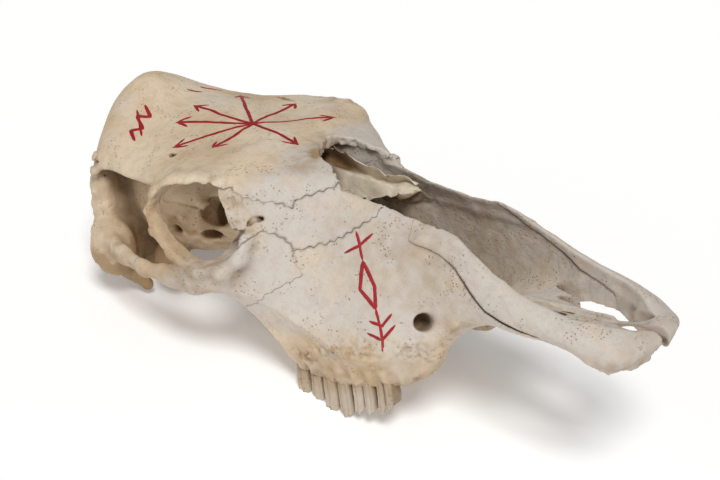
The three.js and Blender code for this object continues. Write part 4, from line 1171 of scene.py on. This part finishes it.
# Turbinates: thin scrolls of bone left in the nose, torn at their edges. Each is a sheet through a grid of
# points in the head's frame, thickened; thin bone material, paler than the skull
SCROLL = np.array([
    [(-54, 14, 136), (-55, 16, 128), (-45, 6, 126), (-40, -2, 120), (-36, -9, 114)],
    [(-38, 12, 150), (-41, 14, 142), (-25, 2, 140), (-15, -6, 133), (-10, -12, 126)],
    [(-21, 10, 151), (-24, 13, 141), (-10, 0, 139), (1, -8, 134), (5, -13, 126)],
    [(-4, 6, 146), (-8, 9, 138), (6, -4, 137), (15, -10, 132), (21, -14, 124)],
    [(14, 2, 140), (12, 6, 134), (24, -7, 134), (32, -12, 131), (38, -15, 126)],
    [(31, 0, 137), (29, 4, 131), (41, -9, 132), (45, -13, 130), (50, -16, 128)],
    [(47, -2, 137), (46, 3, 131), (56, -10, 132), (57, -14, 131), (56, -17, 128)],
    [(57, -3, 134), (56, 2, 130), (66, -11, 132), (62, -14, 131), (61, -17, 131)],
], float) + (-2.4, 3, -1.2)
THICKNESS = 0.9
ROWS, COLUMNS = 90, 60
LEFT_ROWS = 62


def refined(grid, along, across):
    """A smooth grid of points through a coarse one, Catmull-Rom in both directions."""
    for axis, count in ((0, along), (1, across)):
        grid = np.moveaxis(grid, axis, 0)
        padded = np.concatenate([[2 * grid[0] - grid[1]], grid, [2 * grid[-1] - grid[-2]]])
        t = np.linspace(0, len(grid) - 1.001, count)
        i = t.astype(int)
        grid = catmull_rom(*(padded[i + n] for n in range(4)), (t - i)[:, None, None])
        grid = np.moveaxis(grid, 0, axis)
    return grid


def add_sheet(name, grid, thickness, material):
    """Closed sheet of a thickness about a grid of points."""
    along, across = grid.shape[:2]
    normal = np.cross(np.gradient(grid, axis=0), np.gradient(grid, axis=1))
    normal /= np.linalg.norm(normal, axis=-1, keepdims=True)
    row, column = np.indices((along, across))
    edge = np.minimum(np.minimum(row, along - 1 - row), np.minimum(column, across - 1 - column))
    half = thickness / 2 * np.clip(0.35 + edge / 4, 0, 1)[..., None]
    index = np.arange(along * across).reshape(along, across)
    faces = []
    for n in (0, 1):
        level = index + n * index.size
        quad = np.stack([level[:-1, :-1], level[1:, :-1], level[1:, 1:], level[:-1, 1:]], -1).reshape(-1, 4)
        faces.append(quad if n == 0 else quad[:, ::-1])
    rim = np.concatenate([index[0, :-1], index[:-1, -1], index[-1, :0:-1], index[:0:-1, 0]])
    after = np.roll(rim, -1)
    faces.append(np.stack([rim, after, after + index.size, rim + index.size], -1))
    points = np.stack([grid + normal * half, grid - normal * half]).reshape(-1, 3)
    return add_mesh(name, to_row(points), np.concatenate(faces), material), points


thin_material = add_bone_material("thin_bone", (0.78, 0.71, 0.58, 1), (0.70, 0.58, 0.40, 1), grain=0.7)
for side_name, side in (("right", 1), ("left", -1)):
    sheet = refined(SCROLL, ROWS, COLUMNS)
    s, t = np.meshgrid(np.linspace(0, 1, ROWS), np.linspace(0, 1, COLUMNS), indexing="ij")
    fold = 2.2 * np.sin(3.5 * np.pi * t + 2.2 * s) * np.sin(np.pi * np.clip(s * 1.2, 0, 1))
    sheet[..., 2] += fold + 1.4 * noise(*np.moveaxis(sheet, -1, 0), 7)
    torn = rise(np.abs(t - 0.5) * 2, 0.82, 1)
    sheet[..., 0] += 4.0 * torn * noise(s * 60, t * 9, 0 * s, 2.6)
    sheet[..., 2] += 2.5 * torn * noise(s * 60, t * 9, 9 + 0 * s, 2.2)
    sheet[..., 0] += 4.5 * rise(s, 0.86, 1) * noise(t * 40, 0 * s, 3 + 0 * s, 3.0)
    if side < 0:
        # The left one is a guess: shorter, lower, on the other side, and painted darker as shade in the depth of
        # the nose
        sheet = sheet[:LEFT_ROWS]
        sheet[..., 1] = 22 - sheet[..., 1] * 0.7
        sheet[..., 2] -= 17
        sheet = sheet[::-1]
    piece, points = add_sheet(f"turbinate_{side_name}_bone", sheet, THICKNESS, thin_material)
    # Painted shade: darker deeper back in the nose and along the trough of the scroll; the left one is darker
    # all over, through both the hollow and the stain attribute, as painted shade
    trough = 0.5 * bell(np.tile(t.ravel()[:len(points) // 2], 2), 0.25, 0.12)
    inner = np.clip((8 - points[:, 0]) / 40, 0, 0.6)
    set_attributes(
        piece, hollow=inner + trough + (0.5 if side < 0 else 0), seam=0, pale=0.2,
        stain=0.25 * np.clip(noise(*points.T, 9), 0, 1) + (0.4 if side < 0 else 0),
    )
    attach(piece, "root")
    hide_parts(f"turbinate_{side_name}")

# Vomer: the low blade along the floor of the nose, hollowed into a groove on top. Thin bone; lofted rings
rings = []
for x in np.linspace(-61, 171, 150):
    low, high = polyline(VOMER, x, 1), polyline(VOMER, x, 2)
    half = 1.7 + 0.25 * float(noise(x, 0, 5, 6))
    high += 0.6 * float(noise(x, 3, 5, 3)) - 4.5 * rise(x, 105, 135)
    side = [(half, low), (half, mix(low, high, 0.5)), (half * 0.8, high), (half * 0.35, high - 0.2)]
    outline = [*((-y, z) for y, z in side), (0, high - 1.6), *side[::-1], (0, low - 0.1)]
    rings.append([(x, y, z) for y, z in outline])
rings = np.array(rings)
index = np.arange(rings.shape[0] * rings.shape[1]).reshape(rings.shape[:2])
turn = np.roll(index, -1, 1)
faces = np.stack([index[:-1], index[1:], turn[1:], turn[:-1]], -1).reshape(-1, 4)
caps = []
for end, turning in ((0, 1), (-1, -1)):
    for n in range(4):
        caps.append([index[end][m] for m in (n, n + 1, 8 - n, 9 - n)][::turning])
blade = add_mesh("vomer_bone", to_row(rings.reshape(-1, 3)), np.concatenate([faces, caps]), thin_material)
# A little painted shade and a little stain, even all over
set_attributes(blade, hollow=0.15, stain=0.15, seam=0, pale=0.3)
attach(blade, "root")
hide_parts("vomer")


# Painted marks: a star of eight rays [degrees, length] on the forehead, a stem with a diamond on the cheek,
# strokes on the poll. Red paint, in places worn; Geometry Nodes lay flat ribbons along points on the bone
RAYS = [
    (180, 58), (204, 60), (234, 62), (268, 45), (350, 50), (52, 62), (98, 60), (138, 74),
]
STAR = np.array((-86.0, -3.0))
ROOF_STROKES = [[(-172, -26), (-163, -31), (-171, -37), (-161, -43), (-168, -49), (-159, -55)]]
ROOF_STROKES += [[(-174, -33), (-157, -49)], [(-165, 14), (-159, 24)], [(-167, 30), (-160, 47)]]
for degrees, length in RAYS:
    angle = math.radians(degrees)
    ahead = np.array((math.cos(angle), math.sin(angle)))
    across = np.array((-ahead[1], ahead[0]))
    tip = STAR + ahead * length
    ROOF_STROKES.append([STAR - ahead * 3, STAR + ahead * length * 0.5 + across * 0.8, tip])
    for side in (-1, 1):
        ROOF_STROKES.append([tip - ahead * 11 + across * side * 6, tip - ahead * 1])
CHEEK_STROKES = [
    [(30, 110), (38, 92)], [(38, 92), (49, 76), (51, 62), (38, 74), (38, 92)], [(51, 62), (55, 48), (57, 34)],
    [(24, 97), (34, 101), (42, 108)], [(46, 46), (56, 41), (64, 50)], [(47, 54), (55.5, 50), (62, 58)],
]


def landed(points, direction):
    """Where points that fly in a direction, by steps of 0.4 mm, meet the bone."""
    points = np.array(points, float)
    flying = np.ones(len(points), bool)
    for _ in range(400):
        flying &= sample(skull_field, np.clip(points, LOW, TOP)) > 0
        points[flying] += np.array(direction) * 0.4
    for _ in range(3):
        points -= normals_of(skull_field, points) * sample(skull_field, points)[:, None]
    return points


def add_stroke_tree(name, material):
    """Nodes that turn edges with a normal and a half width into closed flat ribbons."""
    tree = bpy.data.node_groups.new(name, "GeometryNodeTree")
    tree.interface.new_socket("Geometry", in_out="INPUT", socket_type="NodeSocketGeometry")
    tree.interface.new_socket("Flatness", in_out="INPUT", socket_type="NodeSocketFloat")
    tree.interface.new_socket("Geometry", in_out="OUTPUT", socket_type="NodeSocketGeometry")
    source = tree.nodes.new("NodeGroupInput")
    surface, half_width = (
        add_node(tree, "GeometryNodeInputNamedAttribute", data_type=kind, Name=attribute).outputs["Attribute"]
        for kind, attribute in (("FLOAT_VECTOR", "surface_normal"), ("FLOAT", "half_width"))
    )
    path = add_node(tree, "GeometryNodeMeshToCurve", Mesh=source.outputs["Geometry"])
    turned = add_node(
        tree, "GeometryNodeSetCurveNormal", mode="FREE", Curve=path.outputs["Curve"], Normal=surface)
    wide = add_node(tree, "GeometryNodeSetCurveRadius", Curve=turned.outputs["Curve"], Radius=half_width)
    circle = add_node(tree, "GeometryNodeCurvePrimitiveCircle", Resolution=10, Radius=1.0)
    scale = add_node(tree, "ShaderNodeCombineXYZ", X=source.outputs["Flatness"], Y=1.0, Z=1.0)
    profile = add_node(
        tree, "GeometryNodeTransform", Geometry=circle.outputs["Curve"], Scale=scale.outputs["Vector"])
    ribbon = add_node(
        tree, "GeometryNodeCurveToMesh", Curve=wide.outputs["Curve"],
        Profile_Curve=profile.outputs["Geometry"], Scale=half_width, Fill_Caps=True)
    real = add_node(tree, "GeometryNodeRealizeInstances", Geometry=ribbon.outputs["Mesh"])
    painted = add_node(tree, "GeometryNodeSetMaterial", Geometry=real.outputs["Geometry"], Material=material)
    result = tree.nodes.new("NodeGroupOutput")
    tree.links.new(painted.outputs["Geometry"], result.inputs["Geometry"])
    return tree


red_paint, paint_shader = add_material("red_paint")
paint_tree = red_paint.node_tree
paint_place = paint_tree.nodes.new("ShaderNodeTexCoord").outputs["Object"]
uneven = add_ramp(paint_tree, add_noise(paint_tree, paint_place, 260, 5, 0.6), 0.38, 0.62)
thin_places = add_ramp(paint_tree, add_noise(paint_tree, paint_place, 500, 6, 0.7), 0.66, 0.78)
paint_color = add_mix(paint_tree, uneven, (0.38, 0.004, 0.010, 1), (0.26, 0.003, 0.008, 1))
paint_color = add_mix(paint_tree, thin_places, paint_color, (0.55, 0.16, 0.12, 1))
paint_tree.links.new(paint_color, paint_shader.inputs["Base Color"])
paint_shader.inputs["Roughness"].default_value = 0.5

START_HEIGHT, START_SIDE = 214, -112
FLATNESS = 0.22
stroke_points, stroke_edges, stroke_widths, start = [], [], [], 0
shaky = np.random.RandomState(12)
for strokes, direction in ((ROOF_STROKES, (0, 0, -1)), (CHEEK_STROKES, (0, 1, 0))):
    for stroke in strokes:
        stroke = np.array(stroke, float)
        lengths = np.concatenate([[0], np.cumsum(np.linalg.norm(np.diff(stroke, axis=0), axis=1))])
        at = np.linspace(0, lengths[-1], max(4, round(lengths[-1] / 1.3)))
        a, b = (np.interp(at, lengths, stroke[:, n]) for n in (0, 1))
        a = a + 0.35 * noise(at, shaky.uniform(0, 60) + 0 * at, 0 * at, 7)
        b = b + 0.35 * noise(at, shaky.uniform(0, 60) + 0 * at, 5 + 0 * at, 7)
        flight = [a, b, 0 * a + START_HEIGHT] if direction[2] else [a, 0 * a + START_SIDE, b]
        stroke_points.append(landed(np.stack(flight, -1), direction))
        share = at / lengths[-1]
        full = 1.45 if lengths[-1] > 30 else 1.1
        ends = np.clip(np.minimum(share, 1 - share) * lengths[-1] / 2.0, 0.35, 1)
        stroke_widths.append((full + 0.18 * noise(at, 3 + 0 * at, shaky.uniform(0, 60) + 0 * at, 4)) * ends)
        stroke_edges += [(start + n, start + n + 1) for n in range(len(a) - 1)]
        start += len(a)
stroke_points = np.concatenate(stroke_points)
stroke_normals = normals_of(skull_field, stroke_points, 1.5)
stroke_mesh = bpy.data.meshes.new("strokes")
stroke_mesh.from_pydata(to_row(stroke_points + stroke_normals * 0.05).tolist(), stroke_edges, [])
stroke_lines = add_object("strokes", stroke_mesh)
set_attributes(stroke_lines, half_width=np.concatenate(stroke_widths) / MM)
vectors = stroke_mesh.attributes.new("surface_normal", "FLOAT_VECTOR", "POINT")
vectors.data.foreach_set("vector", (stroke_normals @ PITCHED.T).astype(np.float32).ravel())
stroke_tree = add_stroke_tree("stroke_ribbons", red_paint)
modifier = stroke_lines.modifiers.new("ribbons", "NODES")
modifier.node_group = stroke_tree
flatness = next(item for item in stroke_tree.interface.items_tree if item.name == "Flatness")
modifier[flatness.identifier] = FLATNESS
evaluated = stroke_lines.evaluated_get(bpy.context.evaluated_depsgraph_get())
paint = add_object("red_marks", bpy.data.meshes.new_from_object(evaluated))
bpy.data.objects.remove(stroke_lines)
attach(paint, "root")
